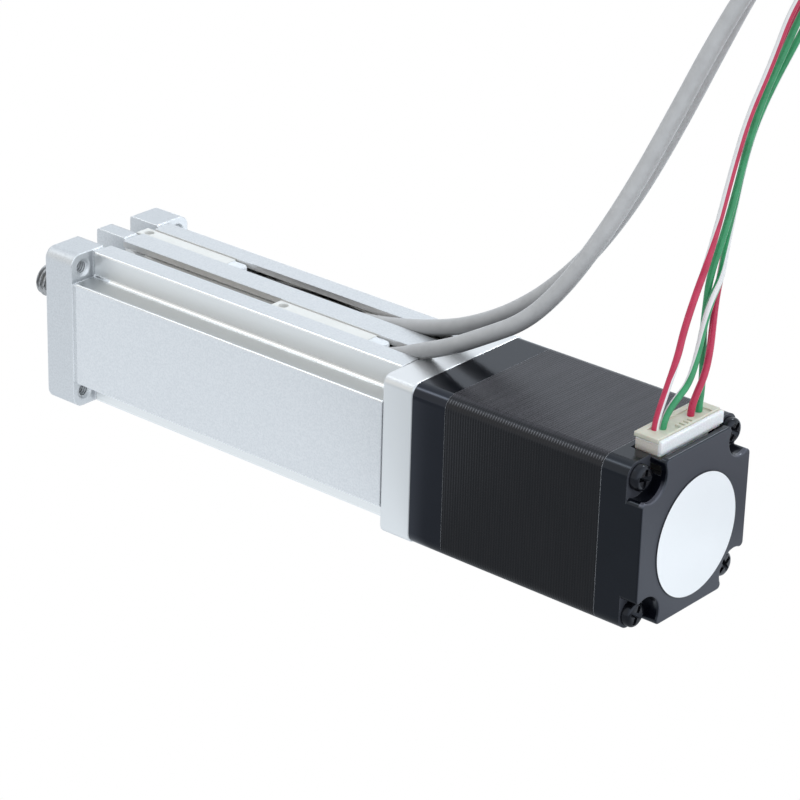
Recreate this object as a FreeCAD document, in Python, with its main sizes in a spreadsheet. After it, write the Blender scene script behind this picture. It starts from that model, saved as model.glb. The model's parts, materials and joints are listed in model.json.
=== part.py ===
import FreeCAD, Part
import math
import os
import Sketcher
from types import SimpleNamespace

# Electric cylinder: a square drawn tube with a rod at the front, driven by a
# lead screw and a square stepping motor at the rear. X runs along the rod, out
# of the front flange; Z is up. The origin is the middle of the front flange's
# front face. Lengths are in millimetres and angles in degrees.

SIZES = {
    # Tube and motor share one square section
    "section": 28.0,
    "tube_length": 69.2,
    "tube_bore": 16.0,
    "tube_rounding": 0.4,
    "notch_size": 4.6,
    "notch_rounding": 0.6,
    "groove_offset": 3.9,
    "groove_mouth": 2.95,
    "channel_bore": 4.1,
    "channel_depth": 2.45,
    "keyway_width": 3.0,
    "keyway_depth": 1.0,
    # Front flange
    "front_width": 28.3,
    "front_length": 6.6,
    "front_rounding": 2.0,
    "front_edge": 0.5,
    "seat_length": 0.7,
    "seat_inset": 0.35,
    "seat_play": 0.05,
    "slot_offset": 4.06,
    "slot_width": 4.98,
    "slot_floor": 9.7,
    "pilot_length": 3.5,
    "pilot_play": 0.05,
    "mount_pitch": 23.0,
    "mount_bore": 2.5,
    "mount_bevel": 0.35,
    "rod_lip_length": 0.5,
    "rod_lip_play": 0.3,
    "bushing_wall": 1.5,
    "bushing_play": 0.03,
    "seal_length": 2.3,
    "seal_play": 0.02,
    "seal_lip": 0.5,
    # Rear flange
    "rear_width": 27.8,
    "rear_length": 6.2,
    "rear_rounding": 1.5,
    "rear_edge": 0.3,
    "rear_lip_length": 0.8,
    "rear_lip_bore": 11.2,
    # Screws of the housing
    "screw_size": 2.5,
    "screw_play": 0.1,
    "thread_play": 0.01,
    "cap_head": 4.5,
    "cap_height": 2.5,
    "cap_socket": 2.0,
    "cap_socket_depth": 1.2,
    "head_play": 0.1,
    "body_screw_side": 8.6,
    "body_screw_height": 6.2,
    "body_screw_grip": 6.0,
    "tap_spare": 1.0,
    "low_head": 4.0,
    "low_height": 2.0,
    "motor_thread": 3.0,
    # Bumpers
    "bumper_bore": 10.8,
    "bumper_play": 0.5,
    "bumper_length": 1.5,
    # Rod and what it carries
    "rod_diameter": 10.0,
    "rod_bore": 7.2,
    "rod_bore_start": 8.0,
    "rod_chamfer": 0.3,
    "head_diameter": 9.9,
    "head_length": 3.0,
    "head_flats": 8.0,
    "stud_diameter": 6.0,
    "stud_length": 12.0,
    "stud_chamfer": 0.7,
    "stroke": 40.0,
    "front_spare": 0.1,
    "rear_spare": 0.5,
    "nut_flange_length": 3.0,
    "nut_flange_diameter": 13.6,
    "nut_barrel_length": 11.0,
    "nut_play": 0.05,
    "piston_play": 0.4,
    "piston_step_length": 6.8,
    "piston_step_diameter": 12.0,
    "magnet_length": 4.0,
    "magnet_diameter": 14.6,
    "wear_ring_length": 2.0,
    "wear_ring_play": 0.05,
    "clip_length": 0.6,
    "clip_diameter": 13.6,
    "clip_gap": 3.0,
    "guide_key_inset": 3.3,
    "guide_key_sunk": 1.4,
    "guide_key_play": 0.05,
    # Lead screw and its bearing
    "screw_diameter": 6.0,
    "screw_tip": 16.0,
    "screw_tip_chamfer": 0.5,
    "hub_diameter": 8.0,
    "hub_front": 1.5,
    "collar_diameter": 9.8,
    "collar_length": 1.7,
    "pin_diameter": 1.0,
    "bearing_diameter": 14.0,
    "bearing_length": 3.5,
    "bearing_outer_wall": 1.3,
    "bearing_inner_wall": 1.1,
    "washer_length": 0.4,
    "washer_diameter": 13.8,
    "washer_bore": 11.6,
    "clip_band_length": 0.3,
    "clip_band_diameter": 9.6,
    # Motor
    "motor_rounding": 2.3,
    "bell_length": 6.6,
    "stack_length": 30.5,
    "cover_length": 7.9,
    "pilot_diameter": 22.0,
    "motor_pilot_length": 1.5,
    "shaft_diameter": 5.0,
    "shaft_play": 0.4,
    "shaft_recess": 0.5,
    "shaft_recess_bore": 10.8,
    "shaft_front": 7.2,
    "shaft_chamfer": 0.3,
    "motor_bearing_diameter": 13.0,
    "motor_bearing_length": 4.0,
    "bell_web": 1.6,
    "winding_bore": 23.2,
    "winding_depth": 2.5,
    "stator_bore": 17.0,
    "air_gap": 0.3,
    "tooth_width": 3.0,
    "tooth_tip": 0.6,
    "tooth_gap": 1.8,
    "slot_depth": 2.5,
    "coil_thickness": 1.1,
    "coil_end": 0.9,
    "coil_play": 0.1,
    "rotor_core_length": 11.0,
    "rotor_magnet_length": 3.0,
    "wave_washer_length": 0.4,
    "corner_recess": 6.8,
    "corner_recess_depth": 3.1,
    "corner_recess_rounding": 0.8,
    "cover_edge": 0.35,
    "pan_head": 4.2,
    "pan_height": 1.6,
    "pan_rounding": 0.6,
    "label_diameter": 20.6,
    "label_length": 0.15,
    "label_side": -0.6,
    "label_height": -1.6,
    # Motor connector
    "contact_pitch": 2.0,
    "connector_width": 16.0,
    "connector_depth": 5.3,
    "connector_front": 1.2,
    "connector_top": 16.6,
    "pocket_play": 0.3,
    "board_floor": 10.2,
    "board_length": 4.4,
    "board_thickness": 0.8,
    "well_play": 0.8,
    "header_floor": 1.0,
    "header_wall": 0.7,
    "header_inset": 0.25,
    "header_gap": 0.15,
    "header_drop": 0.25,
    "plug_play": 0.05,
    "plug_plate": 0.8,
    "plug_inset": 0.4,
    "contact_width": 0.5,
    "contact_length": 3.6,
    "cavity_bore": 1.25,
    "cavity_depth": 1.5,
    # Position switches in the grooves
    "switch_length": 25.1,
    "switch_width": 2.8,
    "switch_barrel": 3.6,
    "switch_drop": 0.25,
    "near_switch_back": 7.1,
    "far_switch_tip": 5.6,
    "boot_length": 4.0,
    "boot_inset": 0.1,
    "set_screw_inset": 1.8,
    "set_screw_size": 1.7,
    "set_screw_drop": 0.3,
    # Cables and wires
    "cable_diameter": 2.8,
    "wire_diameter": 1.15,
    "near_coil_radius": 14.5,
    "far_coil_radius": 17.5,
    "cable_coil_width": 2.9,
    "near_coil_height": 10.8,
    "far_coil_height": 8.2,
    "wire_coil_radius": 6.3,
    "wire_coil_width": 2.5,
    "wire_coil_height": 8.9,
    "wire_spacing": 1.3,
    "coil_rise": 0.05,
    # How far a cut runs past the face that it opens
    "overshoot": 1.0,
}

POLES = 8
CONTACTS = 6

# Middle of the stored coils on the standing surface, and the points that the
# free cords pass by, from the pieces they leave to the coils they end in
COIL_CENTRE = (-152.0, -32.0)
NEAR_CABLE = [
    (-69.4, 3.9, 11.5), (-73.2, 3.9, 13.5), (-77.0, 3.95, 16.0), (-82.6, 4.6, 18.7),
    (-88.3, 3.9, 21.2), (-93.3, 0.9, 24.8), (-97.5, -3.2, 29.9), (-100.9, -7.9, 36.8),
    (-103.4, -13.4, 45.4), (-105.5, -19.8, 55.8), (-107.3, -25.8, 65.8), (-109.9, -31.1, 75.2),
    (-113.7, -35.2, 83.0), (-119.5, -39.2, 88.4), (-127.2, -42.6, 89.8), (-134.8, -45.4, 86.8),
    (-140.4, -46.8, 80.2), (-143.0, -47.1, 71.2), (-143.4, -46.9, 60.5), (-142.0, -46.7, 49.5),
    (-139.6, -46.5, 38.0), (-137.6, -46.4, 26.5), (-136.5, -46.5, 16.5), (-136.4, -46.5, 7.7),
    (-138.8, -46.5, 2.0), (-143.2, -46.5, -2.4), (-148.9, -46.5, -4.75), (-155.0, -46.5, -4.75),
]
FAR_CABLE = [
    (-30.7, -3.9, 11.5), (-37.5, -3.9, 11.15), (-45.5, -3.9, 11.0), (-53.5, -3.9, 11.3),
    (-60.3, -3.9, 12.2), (-67.0, -3.9, 13.6), (-73.2, -3.9, 15.4), (-79.0, -4.2, 17.5),
    (-85.5, -6.2, 20.9), (-91.2, -9.3, 25.7), (-96.0, -13.6, 32.4), (-99.7, -19.0, 41.2),
    (-102.6, -25.2, 52.4), (-104.8, -31.0, 63.2), (-107.2, -36.4, 73.6), (-110.6, -41.0, 82.4),
    (-116.2, -45.6, 88.5), (-124.4, -48.8, 90.4), (-132.9, -50.6, 87.4), (-139.6, -51.2, 80.8),
    (-142.9, -51.1, 71.4), (-143.6, -50.8, 60.0), (-142.2, -50.4, 49.0), (-139.8, -50.0, 37.5),
    (-137.7, -49.7, 26.0), (-136.6, -49.5, 15.5), (-136.4, -49.5, 5.2), (-138.8, -49.5, -0.5),
    (-143.2, -49.5, -4.9), (-148.9, -49.5, -7.3), (-155.0, -49.5, -7.3),
]
# Each motor wire: the side and the level it takes in the bundle, then its own points
MOTOR_WIRES = {
    "red_white": (1, 1, [
        (-123.65, 5.0, 15.1), (-123.6, 4.9, 17.3), (-123.2, 3.9, 19.4), (-122.4, 1.6, 22.2),
        (-121.6, -1.3, 25.7), (-120.6, -4.0, 29.1), (-119.8, -7.4, 33.2), (-119.4, -10.8, 37.8),
        (-118.9, -14.1, 44.1), (-118.2, -17.6, 50.7), (-117.7, -21.5, 58.0), (-118.1, -26.1, 65.3),
        (-118.0, -31.2, 73.9)]),
    "green_white": (-1, -1, [
        (-123.65, 3.0, 15.1), (-123.6, 2.95, 17.0), (-123.4, 2.15, 18.6), (-123.4, 0.3, 20.1),
        (-123.3, -2.4, 21.8), (-122.6, -5.2, 25.3), (-121.7, -7.8, 29.8), (-121.1, -10.1, 32.6),
        (-120.2, -13.5, 34.7), (-118.8, -16.4, 38.3), (-117.7, -19.5, 43.9), (-116.9, -22.4, 49.9),
        (-116.5, -25.4, 55.4), (-116.9, -29.2, 61.4), (-118.0, -33.9, 68.4), (-118.8, -37.0, 74.2)]),
    "red": (-1, 1, [
        (-123.65, -3.0, 15.1), (-123.6, -3.1, 17.2), (-123.65, -3.9, 19.4), (-123.9, -5.6, 22.3),
        (-123.0, -7.9, 25.5), (-120.8, -11.4, 28.2), (-119.2, -14.1, 31.1), (-118.1, -16.9, 35.6),
        (-116.9, -20.3, 42.3), (-115.8, -24.0, 50.2), (-115.1, -27.6, 57.2), (-115.3, -32.2, 65.2),
        (-116.6, -36.4, 73.0)]),
    "green": (1, -1, [
        (-123.65, -5.0, 15.1), (-123.6, -5.1, 17.2), (-123.1, -6.1, 19.3), (-121.9, -7.9, 22.4),
        (-120.3, -9.6, 26.8), (-119.5, -11.1, 30.9), (-119.0, -12.3, 35.1), (-119.1, -14.9, 40.6),
        (-118.7, -18.0, 46.7), (-117.9, -21.6, 53.4), (-117.5, -25.4, 60.0), (-117.8, -29.4, 65.9),
        (-118.2, -33.9, 72.9)]),
}
WIRE_BUNDLE = [
    (-117.6, -33.6, 73.4), (-119.9, -38.3, 79.8), (-123.2, -40.8, 83.0), (-128.0, -42.0, 83.8),
    (-132.8, -42.2, 81.6), (-136.8, -41.8, 76.8), (-139.8, -41.0, 69.2), (-142.0, -40.0, 58.5),
    (-143.5, -39.1, 45.5), (-144.6, -38.6, 32.0), (-145.7, -38.3, 19.5), (-146.3, -38.3, 9.5),
    (-146.5, -38.3, 2.4), (-147.2, -38.3, -2.6), (-149.2, -38.3, -5.5), (-152.4, -38.3, -6.5),
    (-155.4, -38.3, -6.5), (-158.4, -38.3, -6.5),
]
ARC_SHARE = 0.45

# How a sketch counts the points of a line or circle, and its own axes
START, END, CENTRE = range(1, 4)
ACROSS_AXIS, UP_AXIS = range(-1, -3, -1)
ORIGIN = ACROSS_AXIS

document = FreeCAD.newDocument("ElectricCylinder")
sheet = document.addObject("Spreadsheet::Sheet", "Sizes")
dim = SimpleNamespace()
nodes = []


class Size:
    """A number together with the sheet formula that gives it."""

    def __init__(self, number, formula):
        self.number = number
        self.formula = formula

    def __add__(self, other):
        return joined(self, "+", other, self.number + number_of(other))

    def __radd__(self, other):
        return joined(other, "+", self, other + self.number)

    def __sub__(self, other):
        return joined(self, "-", other, self.number - number_of(other))

    def __rsub__(self, other):
        return joined(other, "-", self, other - self.number)

    def __mul__(self, other):
        return joined(self, "*", other, self.number * number_of(other))

    def __rmul__(self, other):
        return joined(other, "*", self, other * self.number)

    def __truediv__(self, other):
        return joined(self, "/", other, self.number / number_of(other))

    def __neg__(self):
        return Size(-self.number, f"(-{self.formula})")


def joined(left, sign, right, number):
    return Size(number, f"({formula_of(left)} {sign} {formula_of(right)})")


def number_of(value):
    return value.number if isinstance(value, Size) else float(value)


def formula_of(value):
    return value.formula if isinstance(value, Size) else repr(float(value))


def add_cell(name, text, number):
    cell = f"B{len(vars(dim)) + 1}"
    sheet.set(cell.replace("B", "A"), name)
    sheet.set(cell, text)
    sheet.setAlias(cell, name)
    setattr(dim, name, Size(number, f"Sizes.{name}"))


def derive(**places):
    """Adds a named cell for each place worked out from the driving sizes."""
    for name, place in places.items():
        add_cell(name, "=" + place.formula.replace("Sizes.", ""), place.number)


def fill_sheet():
    for name, number in SIZES.items():
        add_cell(name, repr(number), number)
    derive(half=dim.section / 2, front_half=dim.front_width / 2, rear_half=dim.rear_width / 2)
    derive(land=dim.half - dim.notch_size, mount_offset=dim.mount_pitch / 2)
    place_housing()
    place_motor()
    place_rod()
    place_connector()
    document.recompute()


def place_housing():
    """Planes along the rod for the flanges, the tube and the screw's bearing."""
    derive(seat_front=-dim.front_length)
    derive(tube_front=dim.seat_front - dim.seat_length)
    derive(tube_rear=dim.tube_front - dim.tube_length)
    derive(pilot_rear=dim.tube_front - dim.pilot_length)
    derive(bumper_rear=dim.pilot_rear - dim.bumper_length)
    derive(rear_bumper_front=dim.tube_rear + dim.bumper_length)
    derive(bearing_front=dim.tube_rear - dim.rear_lip_length)
    derive(bearing_rear=dim.bearing_front - dim.bearing_length)
    derive(washer_rear=dim.bearing_rear - dim.washer_length)
    derive(motor_front=dim.tube_rear - dim.rear_length)
    derive(channel_height=dim.half - dim.channel_depth)
    derive(bushing_bore=dim.rod_diameter + 2 * dim.bushing_wall)
    derive(bumper_diameter=dim.tube_bore - 2 * dim.bumper_play)
    derive(near_switch_tip=dim.tube_rear + dim.near_switch_back + dim.switch_length)


def place_motor():
    derive(pilot_front=dim.motor_front + dim.motor_pilot_length)
    derive(stack_front=dim.motor_front - dim.bell_length)
    derive(stack_rear=dim.stack_front - dim.stack_length)
    derive(cover_rear=dim.stack_rear - dim.cover_length)
    derive(bell_bearing_rear=dim.stack_front + dim.winding_depth)
    derive(bell_bearing_front=dim.bell_bearing_rear + dim.motor_bearing_length)
    derive(cover_bearing_front=dim.stack_rear - dim.winding_depth)
    derive(cover_bearing_rear=dim.cover_bearing_front - dim.motor_bearing_length)
    derive(wave_rear=dim.cover_bearing_rear - dim.wave_washer_length)
    derive(rotor_front=dim.stack_front - (dim.stack_length - 2 * dim.rotor_core_length
                                          - dim.rotor_magnet_length) / 2)
    derive(rotor_magnet_front=dim.rotor_front - dim.rotor_core_length)
    derive(rotor_magnet_rear=dim.rotor_magnet_front - dim.rotor_magnet_length)
    derive(rotor_rear=dim.rotor_magnet_rear - dim.rotor_core_length)
    derive(rotor_diameter=dim.stator_bore - 2 * dim.air_gap)
    derive(recess_floor=dim.cover_rear + dim.corner_recess_depth)


def place_rod():
    """Planes of the rod's pieces with the rod drawn in."""
    derive(nut_rear=dim.rear_bumper_front + dim.rear_spare)
    derive(piston_rear=dim.nut_rear + dim.nut_flange_length)
    derive(nut_front=dim.piston_rear + dim.nut_barrel_length)
    derive(piston_front=dim.bumper_rear - dim.front_spare - dim.stroke)
    derive(step_rear=dim.piston_front - dim.piston_step_length)
    derive(magnet_front=dim.step_rear + dim.magnet_length)
    derive(wear_front=dim.magnet_front + dim.wear_ring_length)
    derive(clip_front=dim.wear_front + dim.clip_length)


def place_connector():
    derive(header_front=dim.stack_rear - dim.connector_front)
    derive(header_rear=dim.header_front - dim.connector_depth)
    derive(contact_place=(dim.header_front + dim.header_rear) / 2)
    derive(header_bottom=dim.board_floor + dim.board_thickness)
    derive(plug_bottom=dim.header_bottom + dim.header_floor)
    derive(plate_bottom=dim.connector_top - dim.plug_plate)


def bind(feature, path, value):
    feature.setExpression(path, formula_of(value))


def start_body(label):
    body = document.addObject("PartDesign::Body", label)
    body.Label = label
    nodes.append(body)
    return body


def sketch_on(body, role, offset=0.0):
    """A sketch on one of the body's own planes, set off along its normal."""
    plane = next(item for item in body.Origin.OriginFeatures if item.Role == role)
    sketch = body.newObject("Sketcher::SketchObject", "Sketch")
    sketch.AttachmentSupport = [(plane, "")]
    sketch.MapMode = "FlatFace"
    bind(sketch, "AttachmentOffset.Base.z", offset)
    return sketch


def cross_sketch(body, offset):
    """A sketch across the rod: its axes are Y and Z and its normal is X."""
    return sketch_on(body, "YZ_Plane", offset)


def hold(sketch, direction, axis, element, point, place):
    """Ties a point of the sketch to its place along one axis."""
    if number_of(place) == 0:
        sketch.addConstraint(Sketcher.Constraint("PointOnObject", element, point, axis))
        return
    tie = Sketcher.Constraint(direction, ORIGIN, START, element, point, number_of(place))
    bind(sketch, f"Constraints[{sketch.addConstraint(tie)}]", place)


def hold_point(sketch, element, point, across, up):
    hold(sketch, "DistanceX", UP_AXIS, element, point, across)
    hold(sketch, "DistanceY", ACROSS_AXIS, element, point, up)


def add_loop(sketch, points):
    """A closed loop of straight lines with every corner tied to the sheet."""
    first = sketch.GeometryCount
    count = len(points)
    corners = [FreeCAD.Vector(number_of(across), number_of(up), 0) for across, up in points]
    lines = [Part.LineSegment(corners[i], corners[(i + 1) % count]) for i in range(count)]
    sketch.addGeometry(lines, False)
    sketch.addConstraint([Sketcher.Constraint("Coincident", first + i, END, first + (i + 1) % count, START)
                          for i in range(count)])
    for i, (across, up) in enumerate(points):
        hold_point(sketch, first + i, START, across, up)


def add_box(sketch, left, right, bottom, top):
    add_loop(sketch, [(left, bottom), (right, bottom), (right, top), (left, top)])


def add_circle(sketch, across, up, diameter):
    middle = FreeCAD.Vector(number_of(across), number_of(up), 0)
    radius = diameter / 2
    circle = Part.Circle(middle, FreeCAD.Vector(0, 0, 1), number_of(radius))
    index = sketch.addGeometry(circle, False)
    tie = sketch.addConstraint(Sketcher.Constraint("Radius", index, number_of(radius)))
    bind(sketch, f"Constraints[{tie}]", radius)
    hold_point(sketch, index, CENTRE, across, up)


def four_corners(side, height):
    return [(side, height), (-side, height), (-side, -height), (side, -height)]


def pad(body, sketch, length, toward_front=False):
    feature = body.newObject("PartDesign::Pad", "Pad")
    feature.Profile = sketch
    feature.Reversed = not toward_front
    bind(feature, "Length", length)
    return feature


def pocket(body, sketch, depth=None, toward_front=False):
    """Cuts rearward from the sketch, or forward, to a depth or right through."""
    feature = body.newObject("PartDesign::Pocket", "Pocket")
    feature.Profile = sketch
    feature.Reversed = toward_front
    if depth is None:
        feature.Type = "ThroughAll"
    else:
        bind(feature, "Length", depth)
    return feature


def turn(body, sketch, kind="Revolution"):
    feature = body.newObject(f"PartDesign::{kind}", kind)
    feature.Profile = sketch
    feature.ReferenceAxis = (sketch, ["H_Axis"])
    feature.Angle = 360.0
    return feature


def turned(label, points):
    """A piece turned about the rod's axis from (place along X, radius) points."""
    body = start_body(label)
    sketch = sketch_on(body, "XY_Plane")
    add_loop(sketch, points)
    turn(body, sketch)
    return body


def turned_ring(label, rear, front, bore, diameter):
    inner = bore / 2
    outer = diameter / 2
    return turned(label, [(rear, inner), (rear, outer), (front, outer), (front, inner)])


def turned_cut(body, points):
    sketch = sketch_on(body, "XY_Plane")
    add_loop(sketch, points)
    turn(body, sketch, "Groove")


def dress(body, kind, path, amount, chosen):
    """Rounds or bevels the edges of the body's last feature that are chosen."""
    document.recompute()
    base = body.Tip
    edges = [f"Edge{i}" for i, edge in enumerate(base.Shape.Edges, 1) if chosen(edge)]
    feature = body.newObject(f"PartDesign::{kind}", kind)
    feature.Base = (base, edges)
    bind(feature, path, amount)


def fillet(body, radius, chosen):
    dress(body, "Fillet", "Radius", radius, chosen)


def chamfer(body, size, chosen):
    dress(body, "Chamfer", "Size", size, chosen)


def runs_along_rod(edge):
    box = edge.BoundBox
    return box.XLength > 1e-3 and box.YLength < 1e-6 and box.ZLength < 1e-6


def lies_at(edge, place):
    box = edge.BoundBox
    return abs(box.XMin - number_of(place)) < 1e-4 and box.XLength < 1e-4


def lies_between(edge, rear, front):
    box = edge.BoundBox
    return abs(box.XMin - number_of(rear)) < 1e-4 and abs(box.XMax - number_of(front)) < 1e-4


def reach(edge):
    """How far from the axis the middle of an edge lies."""
    middle = edge.BoundBox.Center
    return math.hypot(middle.y, middle.z)


def add_holes(body, centres, diameter, plane, depth=None, toward_front=False):
    sketch = cross_sketch(body, plane)
    for across, up in centres:
        add_circle(sketch, across, up, diameter)
    pocket(body, sketch, depth, toward_front)


def square_block(body, front, length, half, rounding):
    sketch = cross_sketch(body, front)
    add_box(sketch, -half, half, -half, half)
    pad(body, sketch, length)
    fillet(body, rounding, runs_along_rod)


def notched_outline(half, land):
    """A square with its four corners cut out."""
    return [(-land, -half), (land, -half), (land, -land), (half, -land),
            (half, land), (land, land), (land, half), (-land, half),
            (-land, land), (-half, land), (-half, -land), (-land, -land)]


def body_screw_centres():
    return four_corners(dim.body_screw_side, dim.body_screw_height)


def mount_centres():
    return four_corners(dim.mount_offset, dim.mount_offset)


def make_front_flange():
    body = start_body("front_flange")
    square_block(body, 0.0, dim.front_length, dim.front_half, dim.front_rounding)
    fillet(body, dim.front_edge, lambda edge: lies_at(edge, 0.0))
    seat = cross_sketch(body, dim.seat_front)
    add_loop(seat, notched_outline(dim.half - dim.seat_play, dim.land - dim.seat_inset))
    pad(body, seat, dim.seat_length)
    pilot = cross_sketch(body, dim.tube_front)
    add_circle(pilot, 0.0, 0.0, dim.tube_bore - 2 * dim.pilot_play)
    pad(body, pilot, dim.pilot_length)
    slots = cross_sketch(body, 0.0)
    for side in (-1, 1):
        middle = side * dim.slot_offset
        add_box(slots, middle - dim.slot_width / 2, middle + dim.slot_width / 2,
                dim.slot_floor, dim.front_half + dim.overshoot)
    pocket(body, slots, dim.front_length + dim.seat_length)
    lip = (dim.rod_diameter + 2 * dim.rod_lip_play) / 2
    seat_radius = dim.bushing_bore / 2
    turned_cut(body, [(0.0, 0.0), (0.0, lip), (-dim.rod_lip_length, lip),
                      (-dim.rod_lip_length, seat_radius), (dim.pilot_rear, seat_radius),
                      (dim.pilot_rear, 0.0)])
    add_holes(body, body_screw_centres(), dim.screw_size + 2 * dim.screw_play, 0.0)
    add_holes(body, body_screw_centres(), dim.cap_head + 2 * dim.head_play, 0.0,
              dim.cap_height + dim.head_play)
    add_holes(body, mount_centres(), dim.mount_bore, 0.0)
    corner = number_of(dim.mount_offset) * math.sqrt(2)
    chamfer(body, dim.mount_bevel, lambda edge: abs(reach(edge) - corner) < 0.2
            and (lies_at(edge, 0.0) or lies_at(edge, dim.seat_front)) and edge.Closed)


def make_rod_guides():
    bushing_front = -dim.rod_lip_length - dim.seal_length
    turned_ring("rod_bushing", dim.pilot_rear, bushing_front,
                dim.rod_diameter + 2 * dim.bushing_play, dim.bushing_bore)
    lip = dim.rod_diameter / 2 + dim.seal_play
    outer = dim.bushing_bore / 2
    turned("rod_seal", [(bushing_front, lip + dim.seal_lip), (bushing_front, outer),
                        (-dim.rod_lip_length, outer), (-dim.rod_lip_length, lip),
                        (-dim.rod_lip_length - dim.seal_lip, lip)])
    turned_ring("front_bumper", dim.bumper_rear, dim.pilot_rear,
                dim.bumper_bore, dim.bumper_diameter)


def make_screws(label, centres, head_plane, head, height, length, toward_front=False):
    """Four screws whose heads start at a plane, with their shanks behind."""
    body = start_body(label)
    heads = cross_sketch(body, head_plane)
    shanks = cross_sketch(body, head_plane)
    for across, up in centres:
        add_circle(heads, across, up, head)
        add_circle(shanks, across, up, dim.screw_size)
    pad(body, heads, height, toward_front)
    pad(body, shanks, height + length, toward_front)
    return body


def add_sockets(body, centres, plane, across_flats, depth, toward_front=False):
    sketch = cross_sketch(body, plane)
    corner = across_flats / 2 / math.cos(math.pi / 6)
    for across, up in centres:
        add_loop(sketch, [(across + corner * math.cos(math.pi * i / 3),
                           up + corner * math.sin(math.pi * i / 3)) for i in range(6)])
    pocket(body, sketch, depth, toward_front)


def make_flange_screws():
    front = -dim.head_play
    grip = dim.front_length + dim.seat_length - dim.head_play - dim.cap_height + dim.body_screw_grip
    body = make_screws("front_flange_screws", body_screw_centres(), front,
                       dim.cap_head, dim.cap_height, grip)
    add_sockets(body, body_screw_centres(), front, dim.cap_socket, dim.cap_socket_depth)
    rear = dim.washer_rear
    grip = dim.tube_rear - rear - dim.cap_height + dim.body_screw_grip
    body = make_screws("rear_flange_screws", body_screw_centres(), rear,
                       dim.cap_head, dim.cap_height, grip, toward_front=True)
    add_sockets(body, body_screw_centres(), rear, dim.cap_socket, dim.cap_socket_depth,
                toward_front=True)
    front = dim.tube_rear - dim.head_play
    grip = dim.rear_length - dim.head_play - dim.low_height + dim.motor_thread
    body = make_screws("motor_mount_screws", mount_centres(), front,
                       dim.low_head, dim.low_height, grip)
    add_sockets(body, mount_centres(), front, dim.cap_socket, dim.cap_socket_depth)


def make_tube():
    body = start_body("tube")
    outline = cross_sketch(body, dim.tube_front)
    add_loop(outline, notched_outline(dim.half, dim.land))
    pad(body, outline, dim.tube_length)
    inner_reach = number_of(dim.land) * math.sqrt(2)
    fillet(body, dim.tube_rounding,
           lambda edge: runs_along_rod(edge) and reach(edge) > inner_reach + 0.5)
    fillet(body, dim.notch_rounding,
           lambda edge: runs_along_rod(edge) and abs(reach(edge) - inner_reach) < 0.2)
    bore = cross_sketch(body, dim.tube_front)
    add_circle(bore, 0.0, 0.0, dim.tube_bore)
    pocket(body, bore)
    mouths = cross_sketch(body, dim.tube_front)
    channels = cross_sketch(body, dim.tube_front)
    for side in (-1, 1):
        middle = side * dim.groove_offset
        add_box(mouths, middle - dim.groove_mouth / 2, middle + dim.groove_mouth / 2,
                dim.channel_height, dim.half + dim.overshoot)
        add_circle(channels, middle, dim.channel_height, dim.channel_bore)
    pocket(body, mouths)
    pocket(body, channels)
    keyway = cross_sketch(body, dim.tube_front)
    add_box(keyway, -dim.keyway_width / 2, dim.keyway_width / 2,
            -dim.tube_bore / 2 - dim.keyway_depth, 0.0)
    pocket(body, keyway)
    tap = dim.screw_size + 2 * dim.thread_play
    depth = dim.body_screw_grip + dim.tap_spare
    add_holes(body, body_screw_centres(), tap, dim.tube_front, depth)
    add_holes(body, body_screw_centres(), tap, dim.tube_rear, depth, toward_front=True)


def make_rear_flange():
    body = start_body("rear_flange")
    square_block(body, dim.tube_rear, dim.rear_length, dim.rear_half, dim.rear_rounding)
    fillet(body, dim.rear_edge, lambda edge: lies_at(edge, dim.tube_rear)
           or lies_at(edge, dim.motor_front))
    lip = dim.rear_lip_bore / 2
    seat = dim.bearing_diameter / 2
    register = dim.pilot_diameter / 2
    turned_cut(body, [(dim.tube_rear, 0.0), (dim.tube_rear, lip), (dim.bearing_front, lip),
                      (dim.bearing_front, seat), (dim.washer_rear, seat),
                      (dim.washer_rear, register), (dim.motor_front, register),
                      (dim.motor_front, 0.0)])
    clear = dim.screw_size + 2 * dim.screw_play
    add_holes(body, body_screw_centres() + mount_centres(), clear, dim.tube_rear)
    add_holes(body, mount_centres(), dim.low_head + 2 * dim.head_play, dim.tube_rear,
              dim.low_height + dim.head_play)
    add_holes(body, body_screw_centres(), dim.cap_head + 2 * dim.head_play, dim.motor_front,
              dim.washer_rear - dim.motor_front + dim.cap_height, toward_front=True)


def make_screw_support():
    turned_ring("rear_bumper", dim.tube_rear, dim.rear_bumper_front,
                dim.bumper_bore, dim.bumper_diameter)
    turned_ring("screw_bearing_outer", dim.bearing_rear, dim.bearing_front,
                dim.bearing_diameter - 2 * dim.bearing_outer_wall, dim.bearing_diameter)
    turned_ring("screw_bearing_inner", dim.bearing_rear, dim.bearing_front,
                dim.hub_diameter, dim.hub_diameter + 2 * dim.bearing_inner_wall)
    turned_ring("preload_washer", dim.washer_rear, dim.bearing_rear,
                dim.washer_bore, dim.washer_diameter)
    turned_ring("bearing_clip", dim.bearing_rear - dim.clip_band_length, dim.bearing_rear,
                dim.hub_diameter, dim.clip_band_diameter)


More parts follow.
